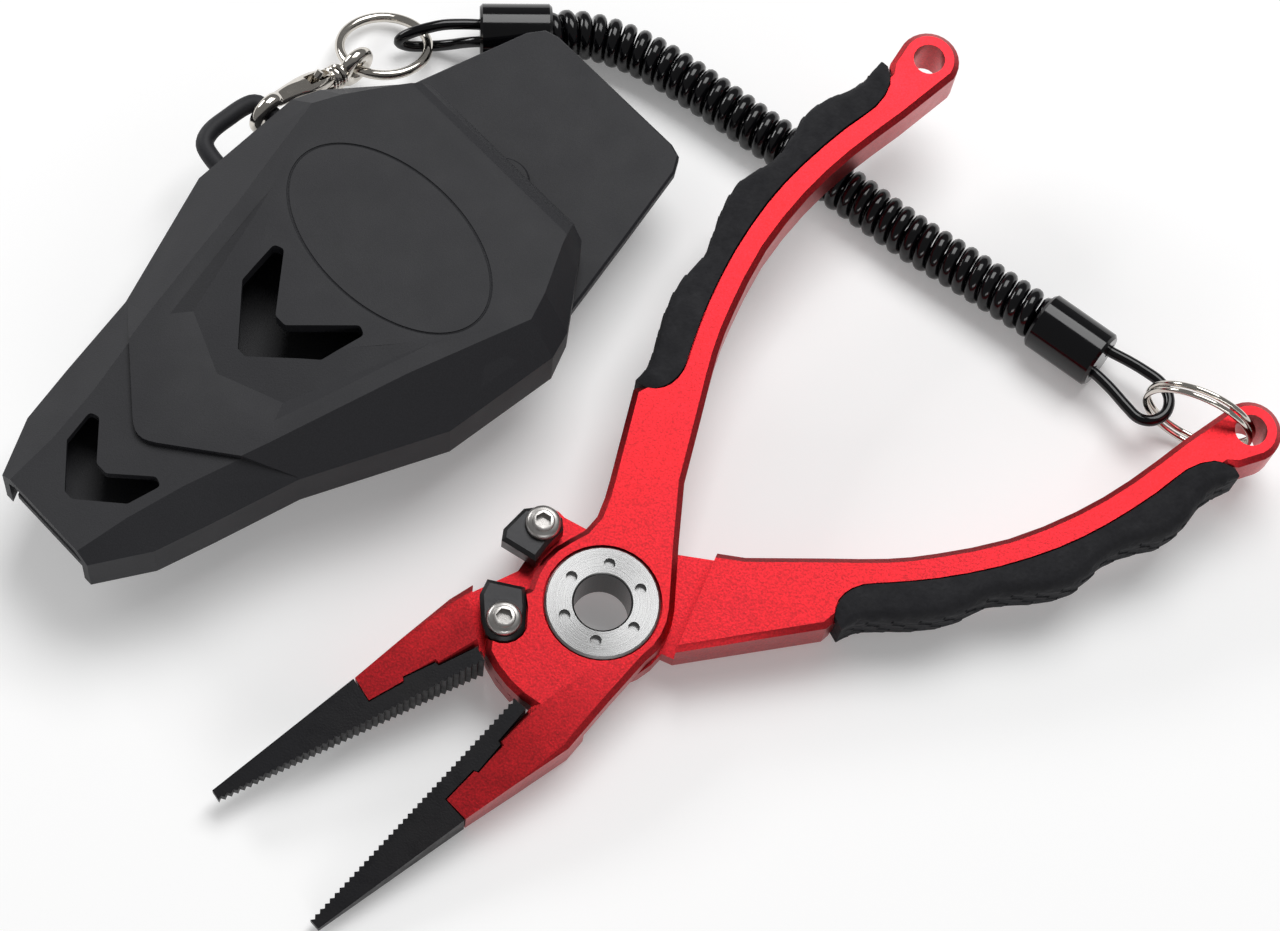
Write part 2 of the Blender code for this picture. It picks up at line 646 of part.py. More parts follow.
def make_split_ring(layout, half_a_frame):
    """A double turn of wire through the hole in the end of half A's handle."""
    bpy.context.view_layer.update()
    hole = half_a_frame.matrix_world @ (Vector((*HANDLE_HOLE, 0.0)) * MM)
    hole_axis = half_a_frame.matrix_world.to_3x3() @ Vector((0, 0, 1))
    level = Vector((*polar(1.0, SPLIT_RING_HEADING), 0.0))
    level -= hole_axis * level.dot(hole_axis)
    level.normalize()
    centre = layout.matrix_world.inverted() @ (hole + level * SPLIT_RING_REACH * MM)
    own = frame_along("split_ring_frame", centre / MM, hole_axis.cross(level), layout)
    count = round(SPLIT_RING_TURNS * 20)
    points = []
    for i in range(count + 1):
        part = i / count
        height = (part - 0.5) * SPLIT_RING_PITCH * SPLIT_RING_TURNS
        x, y = polar(SPLIT_RING_RADIUS, SPLIT_RING_START + 360 * SPLIT_RING_TURNS * part)
        points.append((x, y, height))
    tube("split_ring", points, SPLIT_RING_WIRE, NICKEL, own)


# --- Sheath ------------------------------------------------------------------------------
# Each station of the shell: distance from the tip, half width of the wall, height of the
# wall's foot and of its top edge, half width of the ridge, and height of the top.
SHELL_STATIONS = [
    (0.0, 10.8, 12.0, 20.0, 8.5, 22.0),
    (9.6, 16.1, 12.0, 20.0, 9.5, 22.2),
    (20.0, 18.6, 12.0, 20.0, 10.5, 23.0),
    (35.5, 22.0, 12.0, 20.0, 15.7, 25.3),
    (60.0, 32.0, 12.0, 20.0, 21.5, 25.8),
    (82.0, 33.3, 12.0, 20.0, 27.7, 26.0),
    (87.0, 31.5, 14.8, 20.0, 25.6, 26.0),
    (98.0, 22.5, 14.8, 20.0, 19.3, 26.0),
    (101.0, 20.0, 14.8, 20.6, 18.0, 25.6),
]
CHEVRON_SMALL = [(5.2, 0.9), (11.3, 7.7), (17.3, 9.0), (17.8, 7.2), (12.2, 1.2)]
CHEVRON_LARGE = [(42.3, 0.9), (51.1, 10.0), (59.3, 11.4), (60.0, 9.6), (50.8, 1.2)]
D_LOOP = [(65.6, 31.5), (65.7, 35.4), (66.6, 38.6), (69.2, 39.9), (73.0, 40.0), (76.6, 39.8),
          (78.6, 38.9), (79.1, 36.2), (79.2, 31.6)]
PLATE_HALF = [(1.0, 8.9), (9.6, 13.6), (35.5, 19.4), (60.0, 29.3), (82.0, 30.7), (87.0, 29.0),
              (92.0, 27.0), (110.0, 22.6), (124.4, 19.0), (127.2, 17.2), (128.0, 14.6)]
BELT_CLIP_SIDE = [(92.0, 9.4), (110.2, 9.4), (111.6, 8.6), (112.2, 7.2), (112.2, 4.4),
                  (111.6, 3.0), (110.2, 2.2), (60.0, 2.2), (54.0, 3.6), (52.2, 2.6),
                  (58.6, 0.0), (110.5, 0.0), (113.2, 1.4), (114.4, 3.8), (114.4, 7.8),
                  (113.2, 10.2), (110.5, 11.6), (92.0, 11.6)]


def make_shell(parent):
    """The front moulding: a lofted open surface with a wall, pierced by two chevrons."""
    mesh = bpy.data.meshes.new("sheath_shell")
    built = bmesh.new()
    rows = []
    for x, wall, foot, edge, ridge, top in SHELL_STATIONS:
        side = [(wall, foot), (wall, edge), (ridge, top)]
        section = side + [(-y, z) for y, z in reversed(side)]
        rows.append([built.verts.new((x * MM, y * MM, z * MM)) for y, z in section])
    for near, far in zip(rows, rows[1:]):
        for i in range(len(near) - 1):
            built.faces.new((near[i], far[i], far[i + 1], near[i + 1]))
    bmesh.ops.recalc_face_normals(built, faces=built.faces)
    if built.faces[2].normal.z < 0:
        bmesh.ops.reverse_faces(built, faces=built.faces)
    built.to_mesh(mesh)
    built.free()
    shell = place("sheath_shell", mesh, CHARCOAL, parent)
    wall = shell.modifiers.new("wall", "SOLIDIFY")
    wall.thickness = SHELL_WALL * MM
    wall.offset = -1.0
    wall.use_even_offset = True
    loop = tube("d_loop", [(x, y, D_LOOP_HEIGHT) for x, y in smooth(D_LOOP, 2)], D_LOOP_RADIUS,
                None, parent, group=CUTTERS)
    join(shell, loop)
    for name, half in (("small", CHEVRON_SMALL), ("large", CHEVRON_LARGE)):
        cut(shell, plate("chevron_" + name, [mirrored_outline(half)], 17, 32, None, parent,
                         group=CUTTERS))
    clearer = plate("d_loop_trim", [mirrored_outline(PLATE_HALF[1:6])], 10.0, 19.0, None, parent,
                    group=CUTTERS)
    cut(shell, clearer)
    return shell


def make_back(parent):
    back = plate("back_plate", [mirrored_outline(PLATE_HALF)], SHELL_BOTTOM, PLATE_TOP,
                 CHARCOAL, parent, chamfer=0.4)
    cut(back, cylinder("stud_hole", 2.8, 8, 18, None, parent, STUD_PLACE, 24, CUTTERS))
    stud = frame("belt_clip_axis", (*STUD_PLACE, 0.0), parent=parent)
    turned("belt_clip_stud", [(0.0, 15.4), (4.4, 15.4), (4.8, 15.0), (4.8, 14.7), (2.5, 14.7),
                              (2.5, 9.7), (0.0, 9.7)], OXIDE, stud, 32)
    side = [(x - STUD_PLACE[0], z) for x, z in BELT_CLIP_SIDE]
    strap = plate("belt_clip", [side], -BELT_CLIP_WIDTH / 2, BELT_CLIP_WIDTH / 2, CHARCOAL,
                  stud, chamfer=0.4, upright=True)
    cut(strap, cylinder("clip_stud_hole", 2.8, 8, 14, None, stud, (0, 0), 24, CUTTERS))


# --- Snap clip ---------------------------------------------------------------------------
BODY_SIDE = [(5.4, 1.9), (6.4, 0.9), (7.6, -2.3), (9.4, -2.9), (13.4, -2.9), (15.2, -2.3),
             (17.2, -2.0), (17.2, 2.0), (15.2, 2.5), (13.4, 3.0), (8.6, 3.2), (5.4, 3.6)]
SLOT_SIDE = [(8.7, 6), (8.7, 0.5), (4.0, 0.5), (4.0, -6), (14.7, -6), (14.7, 6)]
LEVER_SIDE = [(3.3, -3.9), (3.3, -2.5), (8.6, -1.7), (9.5, 0.2), (10.7, 4.2), (12.2, 4.7),
              (12.4, 3.9), (11.6, 0.6), (11.9, -1.2), (11.2, -2.4), (9.6, -3.2)]


def make_snap(parent):
    hook = frame("clip_frame", CLIP_PLACE, (0.0, CLIP_PITCH, CLIP_YAW), parent)
    path = [(8.0, 0.0, 2.2), (5.0, 0.0, 2.75)]
    path += [(x, 0.0, z) for x, z in arc(HOOK_RADIUS, 62, 270, step=16)]
    path += [(2.2, 0.0, -HOOK_RADIUS)]
    body = plate("clip_hook", [BODY_SIDE], -2.2, 2.2, NICKEL, hook, chamfer=0.6, upright=True)
    bend = tube("hook_bend", path, HOOK_WIRE, None, hook, group=CUTTERS)
    join(body, bend)
    slot = plate("clip_slot", [SLOT_SIDE], -1.05, 1.05, None, hook, group=CUTTERS, upright=True)
    turn = frame("clip_axis", (0, 0, 0), (0, 90, 0), hook)
    pocket = cylinder("clip_pocket", 1.8, 13.2, 15.0, None, turn, (0, 0), 16, CUTTERS)
    throat = cylinder("clip_throat", 1.25, 14.5, 18.5, None, turn, (0, 0), 16, CUTTERS)
    cross = frame("clip_pin_frame", (LEVER_PIVOT[0], 0, LEVER_PIVOT[1]), (90, 0, 0), hook)
    pin_hole = cylinder("clip_pin_hole", 0.8, -4, 4, None, cross, (0, 0), 12, CUTTERS)
    cut(body, slot, pocket, throat, pin_hole)
    cylinder("clip_pin", 0.55, -2.2, 2.2, BRIGHT, cross, (0, 0), 12)
    gate = [(x - LEVER_PIVOT[0], z - LEVER_PIVOT[1]) for x, z in LEVER_SIDE]
    pivot = frame("clip_lever_axis", (LEVER_PIVOT[0], 0, LEVER_PIVOT[1]), parent=hook)
    lever = plate("clip_lever", [gate], -0.75, 0.75, NICKEL, pivot, upright=True)
    cut(lever, cylinder("lever_hole", 0.85, -4, 4, None, cross, (0, 0), 12, CUTTERS))
    stem = turned("clip_swivel_eye", [
        (0.0, CLIP_EYE_X - 1.9), (0.9, CLIP_EYE_X - 1.9), (1.3, 18.6), (2.3, 18.4), (2.3, 17.5),
        (0.95, 17.5), (0.95, 14.6), (1.5, 14.6), (1.5, 13.6), (0.0, 13.6)], NICKEL, turn, 16)
    ring = [(CLIP_EYE_X + x, 0.0, z) for x, z in arc(2.75, 0, 342, step=18)]
    eye = tube("eye_ring", ring, 1.3, None, hook, cyclic=True, group=CUTTERS)
    join(stem, eye)


# --- Assembly ----------------------------------------------------------------------------
layout = frame("layout", LAYOUT_SHIFT)
pliers = frame("pliers_frame", PIVOT_PLACE, PIVOT_EULER_DEG, layout)
axis_a = frame("half_a_frame", turn_deg=(180, 0, -OPEN_HALF_ANGLE), parent=pliers)
axis_b = frame("half_b_axis", turn_deg=(0, 0, OPEN_HALF_ANGLE), parent=pliers)
sheath = frame("sheath_frame", SHEATH_ORIGIN, (0, 0, SHEATH_ANGLE), layout)

for half, axis in (("a", axis_a), ("b", axis_b)):
    make_half(half, axis)
    make_insert(half, axis)
    make_grip(half, axis)
    make_cutter(half, axis)
make_pivot(pliers)
make_spring(pliers)
make_split_ring(layout, axis_a)
make_lanyard(layout)
make_shell(sheath)
make_back(sheath)
make_snap(sheath)
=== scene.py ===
import json
import math

import bmesh
import bpy
from mathutils import Matrix, Vector


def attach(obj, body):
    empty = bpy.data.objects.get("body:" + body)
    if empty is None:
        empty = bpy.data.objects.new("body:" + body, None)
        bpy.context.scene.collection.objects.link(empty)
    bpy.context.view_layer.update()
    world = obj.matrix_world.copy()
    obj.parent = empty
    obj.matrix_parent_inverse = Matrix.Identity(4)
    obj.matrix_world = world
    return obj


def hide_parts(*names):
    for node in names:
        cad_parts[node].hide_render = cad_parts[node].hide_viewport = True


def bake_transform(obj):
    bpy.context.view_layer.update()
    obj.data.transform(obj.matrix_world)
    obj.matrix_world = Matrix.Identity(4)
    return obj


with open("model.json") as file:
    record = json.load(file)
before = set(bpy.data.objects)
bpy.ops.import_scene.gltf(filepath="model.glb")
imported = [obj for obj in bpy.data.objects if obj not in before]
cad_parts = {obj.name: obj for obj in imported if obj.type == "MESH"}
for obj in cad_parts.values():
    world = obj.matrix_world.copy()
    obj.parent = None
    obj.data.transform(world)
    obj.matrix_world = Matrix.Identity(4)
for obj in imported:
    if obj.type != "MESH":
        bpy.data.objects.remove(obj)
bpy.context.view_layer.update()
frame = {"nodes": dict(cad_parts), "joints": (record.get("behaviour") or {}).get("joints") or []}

MM = 0.001
NODES = frame["nodes"]
SCENE = bpy.context.scene

# --- Frames of the CAD, in millimetres ---------------------------------------------------
SHIFT = Vector((-1.342, -1.564, 0.0))


def turned_frame(place, euler_deg, parent=None):
    turn = [math.radians(a) for a in euler_deg]
    own = Matrix.Translation(Vector(place)) @ (
        Matrix.Rotation(turn[2], 4, "Z") @ Matrix.Rotation(turn[1], 4, "Y")
        @ Matrix.Rotation(turn[0], 4, "X"))
    return own if parent is None else parent @ own


LAYOUT = Matrix.Scale(MM, 4) @ Matrix.Translation(SHIFT)
PLIERS = turned_frame((-6.95, -30.28, 7.53), (5.29, -3.84, 38.59), LAYOUT)
HALF_A = turned_frame((0, 0, 0), (180, 0, -10), PLIERS)
HALF_B = turned_frame((0, 0, 0), (0, 0, 10), PLIERS)
SHEATH = turned_frame((-98.35, -21.68, 0), (0, 0, 43.3), LAYOUT)
CLIP = turned_frame((79.1, 36.2, 15.0), (0, 23.4, 3.8), SHEATH)

# --- Camera ------------------------------------------------------------------------------
CAMERA_PLACE = (-34.07, -258.55, 555.57)
CAMERA_RIGHT = (0.99827, 0.0, 0.05882)
CAMERA_UP = (-0.02466, 0.90788, 0.41851)
CAMERA_BACK = (-0.05340, -0.41924, 0.90631)
camera_data = bpy.data.cameras.new("camera")
camera_data.lens = 100.24
camera_data.sensor_width = 36.0
camera_data.clip_start = 0.05
camera_data.clip_end = 20.0
camera = bpy.data.objects.new("camera", camera_data)
SCENE.collection.objects.link(camera)
turn = Matrix((CAMERA_RIGHT, CAMERA_UP, CAMERA_BACK)).transposed()
camera.matrix_world = Matrix.Translation(Vector(CAMERA_PLACE) * MM) @ turn.to_4x4()
SCENE.camera = camera

# --- Floor and light ---------------------------------------------------------------------
SCENE.view_settings.view_transform = "Standard"
SCENE.view_settings.look = "None"


def area_light(name, place, target, width, height, power):
    data = bpy.data.lights.new(name, "AREA")
    data.shape = "RECTANGLE"
    data.size = width
    data.size_y = height
    data.energy = power
    made = bpy.data.objects.new(name, data)
    SCENE.collection.objects.link(made)
    made.location = place
    aim = Vector(target) - Vector(place)
    made.rotation_mode = "QUATERNION"
    made.rotation_quaternion = aim.to_track_quat("-Z", "Y")
    return made


area_light("softbox", (0.35, 0.78, 1.5), (0.05, 0.05, 0), 1.25, 1.05, 22)
area_light("back_left", (-0.9, 0.75, 0.55), (0, 0, 0), 0.6, 0.3, 5)
area_light("front", (0.1, -1.2, 0.45), (0, 0, 0), 0.8, 0.22, 2.2)

world = bpy.data.worlds.new("studio")
world.use_nodes = True
world.node_tree.nodes["Background"].inputs["Color"].default_value = (1, 1, 1, 1)
world.node_tree.nodes["Background"].inputs["Strength"].default_value = 0.2
SCENE.world = world

# --- Materials ---------------------------------------------------------------------------
# Painted shade: radii in mm over which the colour fades to dark on the bore wall, where the hole
# lies in shade.
PAINTED_BORE_SHADE_FROM = 4.83
PAINTED_BORE_SHADE_TO = 5.1


def material(name, colour, roughness, metallic=0.0, grain=(3000.0, 0.1), soft=(60.0, 0.15),
             bump=(3000.0, 0.01), rough_spread=0.08, tone=None, **sockets):
    """A finish with fine grain, slow colour variation, and uneven roughness.

    Grain and soft are (scale per metre, share of the colour); bump is (scale, height in mm).
    """
    made = bpy.data.materials.new(name)
    made.use_nodes = True
    tree = made.node_tree
    shader = tree.nodes["Principled BSDF"]
    shader.inputs["Metallic"].default_value = metallic
    for socket, value in sockets.items():
        shader.inputs[socket.replace("_", " ")].default_value = value
    where = tree.nodes.new("ShaderNodeTexCoord").outputs["Object"]

    def noise(scale, detail=3.0, place=where):
        node = tree.nodes.new("ShaderNodeTexNoise")
        node.inputs["Scale"].default_value = scale
        node.inputs["Detail"].default_value = detail
        tree.links.new(place, node.inputs["Vector"])
        return node.outputs["Fac"]

    def spread(value, low, high):
        node = tree.nodes.new("ShaderNodeMapRange")
        node.inputs["From Min"].default_value = 0.3
        node.inputs["From Max"].default_value = 0.7
        node.inputs["To Min"].default_value = low
        node.inputs["To Max"].default_value = high
        tree.links.new(value, node.inputs["Value"])
        return node.outputs["Result"]

    def mixed(factor, a, b):
        node = tree.nodes.new("ShaderNodeMix")
        node.data_type = "RGBA"
        tree.links.new(factor, node.inputs["Factor"])
        for socket, value in (("A", a), ("B", b)):
            target = next(i for i in node.inputs
                          if i.name == socket and i.type == "RGBA")
            if isinstance(value, tuple):
                target.default_value = (*value, 1.0)
            else:
                tree.links.new(value, target)
        return next(o for o in node.outputs if o.type == "RGBA")

    other = tone or tuple(c * (1 - soft[1]) for c in colour)
    slow = mixed(spread(noise(soft[0]), 0, 1), colour, other)
    dark = mixed(spread(noise(grain[0]), 0, grain[1]), slow, (0.0, 0.0, 0.0))
    tree.links.new(dark, shader.inputs["Base Color"])
    uneven = spread(noise(soft[0] * 6), max(0.02, roughness - rough_spread),
                    min(1.0, roughness + rough_spread))
    tree.links.new(uneven, shader.inputs["Roughness"])
    relief = tree.nodes.new("ShaderNodeBump")
    relief.inputs["Strength"].default_value = 1.0
    relief.inputs["Distance"].default_value = bump[1] * MM
    tree.links.new(noise(bump[0], 4.0), relief.inputs["Height"])
    tree.links.new(relief.outputs["Normal"], shader.inputs["Normal"])
    return made


RED = material("red_anodised", (0.60, 0.009, 0.015), 0.36, 1.0, grain=(2600, 0.45),
               bump=(2600, 0.025), tone=(0.54, 0.009, 0.018), Coat_Weight=0.35,
               rough_spread=0.03, Coat_Roughness=0.42, Coat_IOR=1.5)
RUBBER = material("grip_rubber", (0.0125, 0.0125, 0.015), 0.8, grain=(1500, 0.3),
                  bump=(1300, 0.16), tone=(0.016, 0.016, 0.019), Specular_IOR_Level=0.3)
OXIDE = material("black_oxide", (0.0052, 0.0052, 0.0075), 0.45, grain=(3500, 0.3),
                 bump=(3000, 0.03), tone=(0.009, 0.008, 0.009), Specular_IOR_Level=0.25)
CUTTER = material("cutter_steel", (0.05, 0.05, 0.052), 0.36, 0.8, bump=(2200, 0.01))
BRIGHT = material("bright_stainless", (0.60, 0.58, 0.56), 0.2, 1.0, bump=(2500, 0.004))
SCREW = material("screw_steel", (0.56, 0.54, 0.52), 0.33, 1.0, bump=(2500, 0.006))
NICKEL = material("nickel", (0.74, 0.70, 0.64), 0.1, 1.0, bump=(700, 0.003))
CORD = material("gloss_cord", (0.0022, 0.0022, 0.003), 0.13, bump=(900, 0.003),
                rough_spread=0.03, Specular_IOR_Level=0.4)
FERRULE = material("gloss_ferrule", (0.0022, 0.0022, 0.003), 0.1, bump=(600, 0.002),
                   rough_spread=0.03, Specular_IOR_Level=0.4)
CHARCOAL = material("charcoal", (0.0168, 0.017, 0.0205), 0.6, grain=(4200, 0.3),
                    bump=(3600, 0.025), soft=(25.0, 0.03), rough_spread=0.02,
                    Specular_IOR_Level=0.35)


def brushed_disc(name, centre_frame):
    """Turned steel: fine rings about the pivot in colour, roughness and height, and painted
    shade darkening the colour on the bore wall.
    """
    made = bpy.data.materials.new(name)
    made.use_nodes = True
    tree = made.node_tree
    shader = tree.nodes["Principled BSDF"]
    shader.inputs["Metallic"].default_value = 1.0
    shader.inputs["Anisotropic"].default_value = 0.6
    link = tree.links.new
    where = tree.nodes.new("ShaderNodeTexCoord").outputs["Object"]
    centre = centre_frame.translation
    axis = centre_frame.to_3x3().col[2].normalized()
    away = tree.nodes.new("ShaderNodeVectorMath")
    away.operation = "SUBTRACT"
    away.inputs[1].default_value = centre
    link(where, away.inputs[0])
    cross = tree.nodes.new("ShaderNodeVectorMath")
    cross.operation = "CROSS_PRODUCT"
    cross.inputs[1].default_value = axis
    link(away.outputs["Vector"], cross.inputs[0])
    radius = tree.nodes.new("ShaderNodeVectorMath")
    radius.operation = "LENGTH"
    link(cross.outputs["Vector"], radius.inputs[0])
    rings = tree.nodes.new("ShaderNodeTexNoise")
    rings.noise_dimensions = "1D"
    rings.inputs["Scale"].default_value = 9000.0
    rings.inputs["Detail"].default_value = 4.0
    link(radius.outputs["Value"], rings.inputs["W"])
    for socket, low, high in (("Roughness", 0.22, 0.34), ("Base Color", 0.34, 0.45)):
        spread = tree.nodes.new("ShaderNodeMapRange")
        spread.inputs["From Min"].default_value = 0.3
        spread.inputs["From Max"].default_value = 0.7
        spread.inputs["To Min"].default_value = low
        spread.inputs["To Max"].default_value = high
        link(rings.outputs["Fac"], spread.inputs["Value"])
        value = spread.outputs["Result"]
        if socket == "Base Color":
            # Painted shade: the base colour is darkened towards the bore wall.
            inside = tree.nodes.new("ShaderNodeMapRange")
            inside.inputs["From Min"].default_value = PAINTED_BORE_SHADE_FROM * MM
            inside.inputs["From Max"].default_value = PAINTED_BORE_SHADE_TO * MM
            inside.inputs["To Min"].default_value = 0.1
            link(radius.outputs["Value"], inside.inputs["Value"])
            shade = tree.nodes.new("ShaderNodeMath")
            shade.operation = "MULTIPLY"
            link(value, shade.inputs[0])
            link(inside.outputs["Result"], shade.inputs[1])
            value = shade.outputs["Value"]
        link(value, shader.inputs[socket])
    relief = tree.nodes.new("ShaderNodeBump")
    relief.inputs["Strength"].default_value = 1.0
    relief.inputs["Distance"].default_value = 0.002 * MM
    link(rings.outputs["Fac"], relief.inputs["Height"])
    link(relief.outputs["Normal"], shader.inputs["Normal"])
    tangent = tree.nodes.new("ShaderNodeVectorMath")
    tangent.operation = "NORMALIZE"
    link(cross.outputs["Vector"], tangent.inputs[0])
    link(tangent.outputs["Vector"], shader.inputs["Tangent"])
    return made


BRUSHED = brushed_disc("brushed_disc", PLIERS)

FINISHES = {
    "red_anodised": RED, "grip_rubber": RUBBER, "black_oxide": OXIDE, "brushed_disc": BRUSHED,
    "cutter_steel": CUTTER, "bright_stainless": BRIGHT, "nickel": NICKEL, "gloss_cord": CORD,
    "gloss_ferrule": FERRULE, "charcoal": CHARCOAL,
}


# --- Kept CAD nodes ----------------------------------------------------------------------
WELD_DISTANCE = 0.002 * MM


def welded_group():
    """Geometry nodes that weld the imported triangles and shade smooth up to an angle."""
    group = bpy.data.node_groups.new("welded_smooth", "GeometryNodeTree")
    group.interface.new_socket("Geometry", in_out="INPUT", socket_type="NodeSocketGeometry")
    group.interface.new_socket("Angle", in_out="INPUT", socket_type="NodeSocketFloat")
    group.interface.new_socket("Geometry", in_out="OUTPUT", socket_type="NodeSocketGeometry")
    nodes = group.nodes
    source = nodes.new("NodeGroupInput")
    result = nodes.new("NodeGroupOutput")
    weld = nodes.new("GeometryNodeMergeByDistance")
    weld.inputs["Distance"].default_value = WELD_DISTANCE
    angle = nodes.new("GeometryNodeInputMeshEdgeAngle")
    below = nodes.new("FunctionNodeCompare")
    below.operation = "LESS_THAN"
    faces = nodes.new("GeometryNodeSetShadeSmooth")
    faces.domain = "FACE"
    edges = nodes.new("GeometryNodeSetShadeSmooth")
    edges.domain = "EDGE"
    link = group.links.new
    link(source.outputs["Geometry"], weld.inputs["Geometry"])
    link(weld.outputs["Geometry"], faces.inputs["Geometry"])
    link(faces.outputs["Geometry"], edges.inputs["Geometry"])
    link(angle.outputs["Unsigned Angle"], below.inputs["A"])
    link(source.outputs["Angle"], below.inputs["B"])
    link(below.outputs["Result"], edges.inputs["Shade Smooth"])
    link(edges.outputs["Geometry"], result.inputs["Geometry"])
    return group


WELDED = welded_group()


def welded(made, angle=26.0):
    if "custom_normal" in made.data.attributes:
        made.data.attributes.remove(made.data.attributes["custom_normal"])
    step = made.modifiers.new("welded", "NODES")
    step.node_group = WELDED
    socket = next(i.identifier for i in WELDED.interface.items_tree if i.name == "Angle")
    step[socket] = math.radians(angle)
    return step


for name, node in NODES.items():
    welded(node)
    slot = node.data.materials[0].name
    node.data.materials[0] = FINISHES[slot]


# --- Mesh helpers ------------------------------------------------------------------------
def smooth(points, pieces=3):
    """Points on a Catmull-Rom curve through the given points."""
    points = [Vector(p) for p in points]
    padded = [2 * points[0] - points[1]] + points + [2 * points[-1] - points[-2]]
    curve = []
    for i in range(len(points) - 1):
        a, b, c, d = padded[i:i + 4]
        for k in range(pieces):
            t = k / pieces
            curve.append(0.5 * (2 * b + (c - a) * t + (2 * a - 5 * b + 4 * c - d) * t * t
                                + (3 * b - a - 3 * c + d) * t ** 3))
    curve.append(points[-1])
    return curve


def spaced(points, step):
    """The same line with points the step apart."""
    lengths = [0.0]
    for a, b in zip(points, points[1:]):
        lengths.append(lengths[-1] + (b - a).length)
    count = max(2, math.ceil(lengths[-1] / step))
    made, k = [], 0
    for i in range(count + 1):
        at = lengths[-1] * i / count
        while k < len(points) - 2 and lengths[k + 1] < at:
            k += 1
        part = (at - lengths[k]) / max(lengths[k + 1] - lengths[k], 1e-12)
        made.append(points[k].lerp(points[k + 1], part))
    return made


def length_of(points):
    return sum((b - a).length for a, b in zip(points, points[1:]))


def line_frames(points, up=Vector((0, 0, 1))):
    """Each point with its direction and two side directions, carried along without twist."""
    frames = []
    side = None
    for i, point in enumerate(points):
        along = (points[min(i + 1, len(points) - 1)] - points[max(i - 1, 0)]).normalized()
        if side is None:
            side = up.cross(along).normalized()
        side = (side - along * side.dot(along)).normalized()
        frames.append((point, along, side, along.cross(side)))
    return frames


def new_piece(name, built, finish, smooth_angle=None):
    mesh = bpy.data.meshes.new(name)
    bmesh.ops.recalc_face_normals(built, faces=built.faces)
    built.to_mesh(mesh)
    built.free()
    mesh.materials.append(finish)
    mesh.shade_smooth()
    if smooth_angle is not None:
        mesh.set_sharp_from_angle(angle=math.radians(smooth_angle))
    made = bpy.data.objects.new(name, mesh)
    SCENE.collection.objects.link(made)
    return made


def swept(name, points, radius, finish, sides=12, closed=False, radii=None):
    """A round tube along the points, with flat ends unless it is closed."""
    built = bmesh.new()
    rings = []
    frames = line_frames([points[-1]] + points + [points[0]] if closed else points)
    if closed:
        frames = frames[1:-1]
    for i, (point, along, side, up) in enumerate(frames):
        r = radii[i] if radii else radius
        rings.append([built.verts.new(point + r * (side * math.cos(a) + up * math.sin(a)))
                      for a in (math.tau * k / sides for k in range(sides))])
    pairs = list(zip(rings, rings[1:]))
    if closed:
        pairs.append((rings[-1], rings[0]))
    for near, far in pairs:
        for k in range(sides):
            built.faces.new((near[k], near[(k + 1) % sides], far[(k + 1) % sides], far[k]))
    if not closed:
        built.faces.new(list(reversed(rings[0])))
        built.faces.new(rings[-1])
    return new_piece(name, built, finish, 50)


def finished(name, mesh, finish, sharp):
    """An object from a ready mesh, shaded smooth up to the sharp angle in degrees."""
    mesh.materials.clear()
    mesh.materials.append(finish)
    mesh.shade_smooth()
    mesh.set_sharp_from_angle(angle=math.radians(sharp))
    made = bpy.data.objects.new(name, mesh)
    SCENE.collection.objects.link(made)
    return made


def placed(made, body, replaced):
    """The piece riding on its body in place of the CAD node, which is hidden."""
    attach(made, body)
    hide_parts(replaced)
    return made


# --- Lanyard -----------------------------------------------------------------------------
COIL_HEIGHT = 4.5
COIL_OUTER = 4.42
COIL_WIRE = 1.3
COIL_PITCH = 2.74
COIL_STEPS_PER_TURN = 18
COIL_INSIDE = 3.2
COIL_END_STRAIGHT = 1.0
COIL_END_RISE = 0.35
COIL_ROUTE = [(-14.9, 83.3), (-10.0, 82.9), (-3.9, 81.3), (2.9, 77.9), (12.1, 71.4),
              (20.6, 64.9), (28.3, 59.2), (37.2, 52.0), (47.1, 44.2), (50.6, 41.7),
              (58.5, 36.1), (67.6, 29.8)]
FERRULE_HEIGHT = 5.4
FERRULE_LENGTH = 13.0
FERRULE_WALL = 4.0
FERRULE_UPPER = (-29.2, 82.4)
FERRULE_UPPER_ANGLE = 1.7
FERRULE_LOWER = (80.1, 19.7)
FERRULE_LOWER_ANGLE = 142.2
UPPER_STRANDS = 1.8
LOWER_STRANDS = 2.6
LOOP_CORD_RADIUS = 1.0
UPPER_LOOP = [(-32.0, 84.0, 5.7), (-35.5, 83.5, 6.1), (-38.3, 82.9, 5.9), (-41.2, 82.2, 5.3),
              (-43.2, 81.6, 4.3), (-43.6, 81.3, 3.1), (-42.0, 81.4, 1.9), (-39.8, 81.7, 1.35),
              (-37.0, 81.9, 1.4), (-34.0, 81.6, 2.6), (-32.0, 81.2, 3.9)]
LOWER_LOOP = [(84.9, 19.9, 5.4), (87.6, 18.0, 5.6), (90.2, 15.6, 6.0), (91.4, 12.4, 6.4),
              (90.6, 9.4, 6.6), (88.2, 7.9, 6.6), (85.8, 8.5, 6.3), (83.9, 10.9, 5.9),
              (81.3, 14.6, 5.5)]


def direction(degrees):
    return Vector((math.cos(math.radians(degrees)), math.sin(math.radians(degrees)), 0.0))


def ferrule_point(face, heading, along):
    return Vector((*face, FERRULE_HEIGHT)) + direction(heading) * along


def to_row(points, matrix=LAYOUT):
    return [matrix @ Vector(p) for p in points]


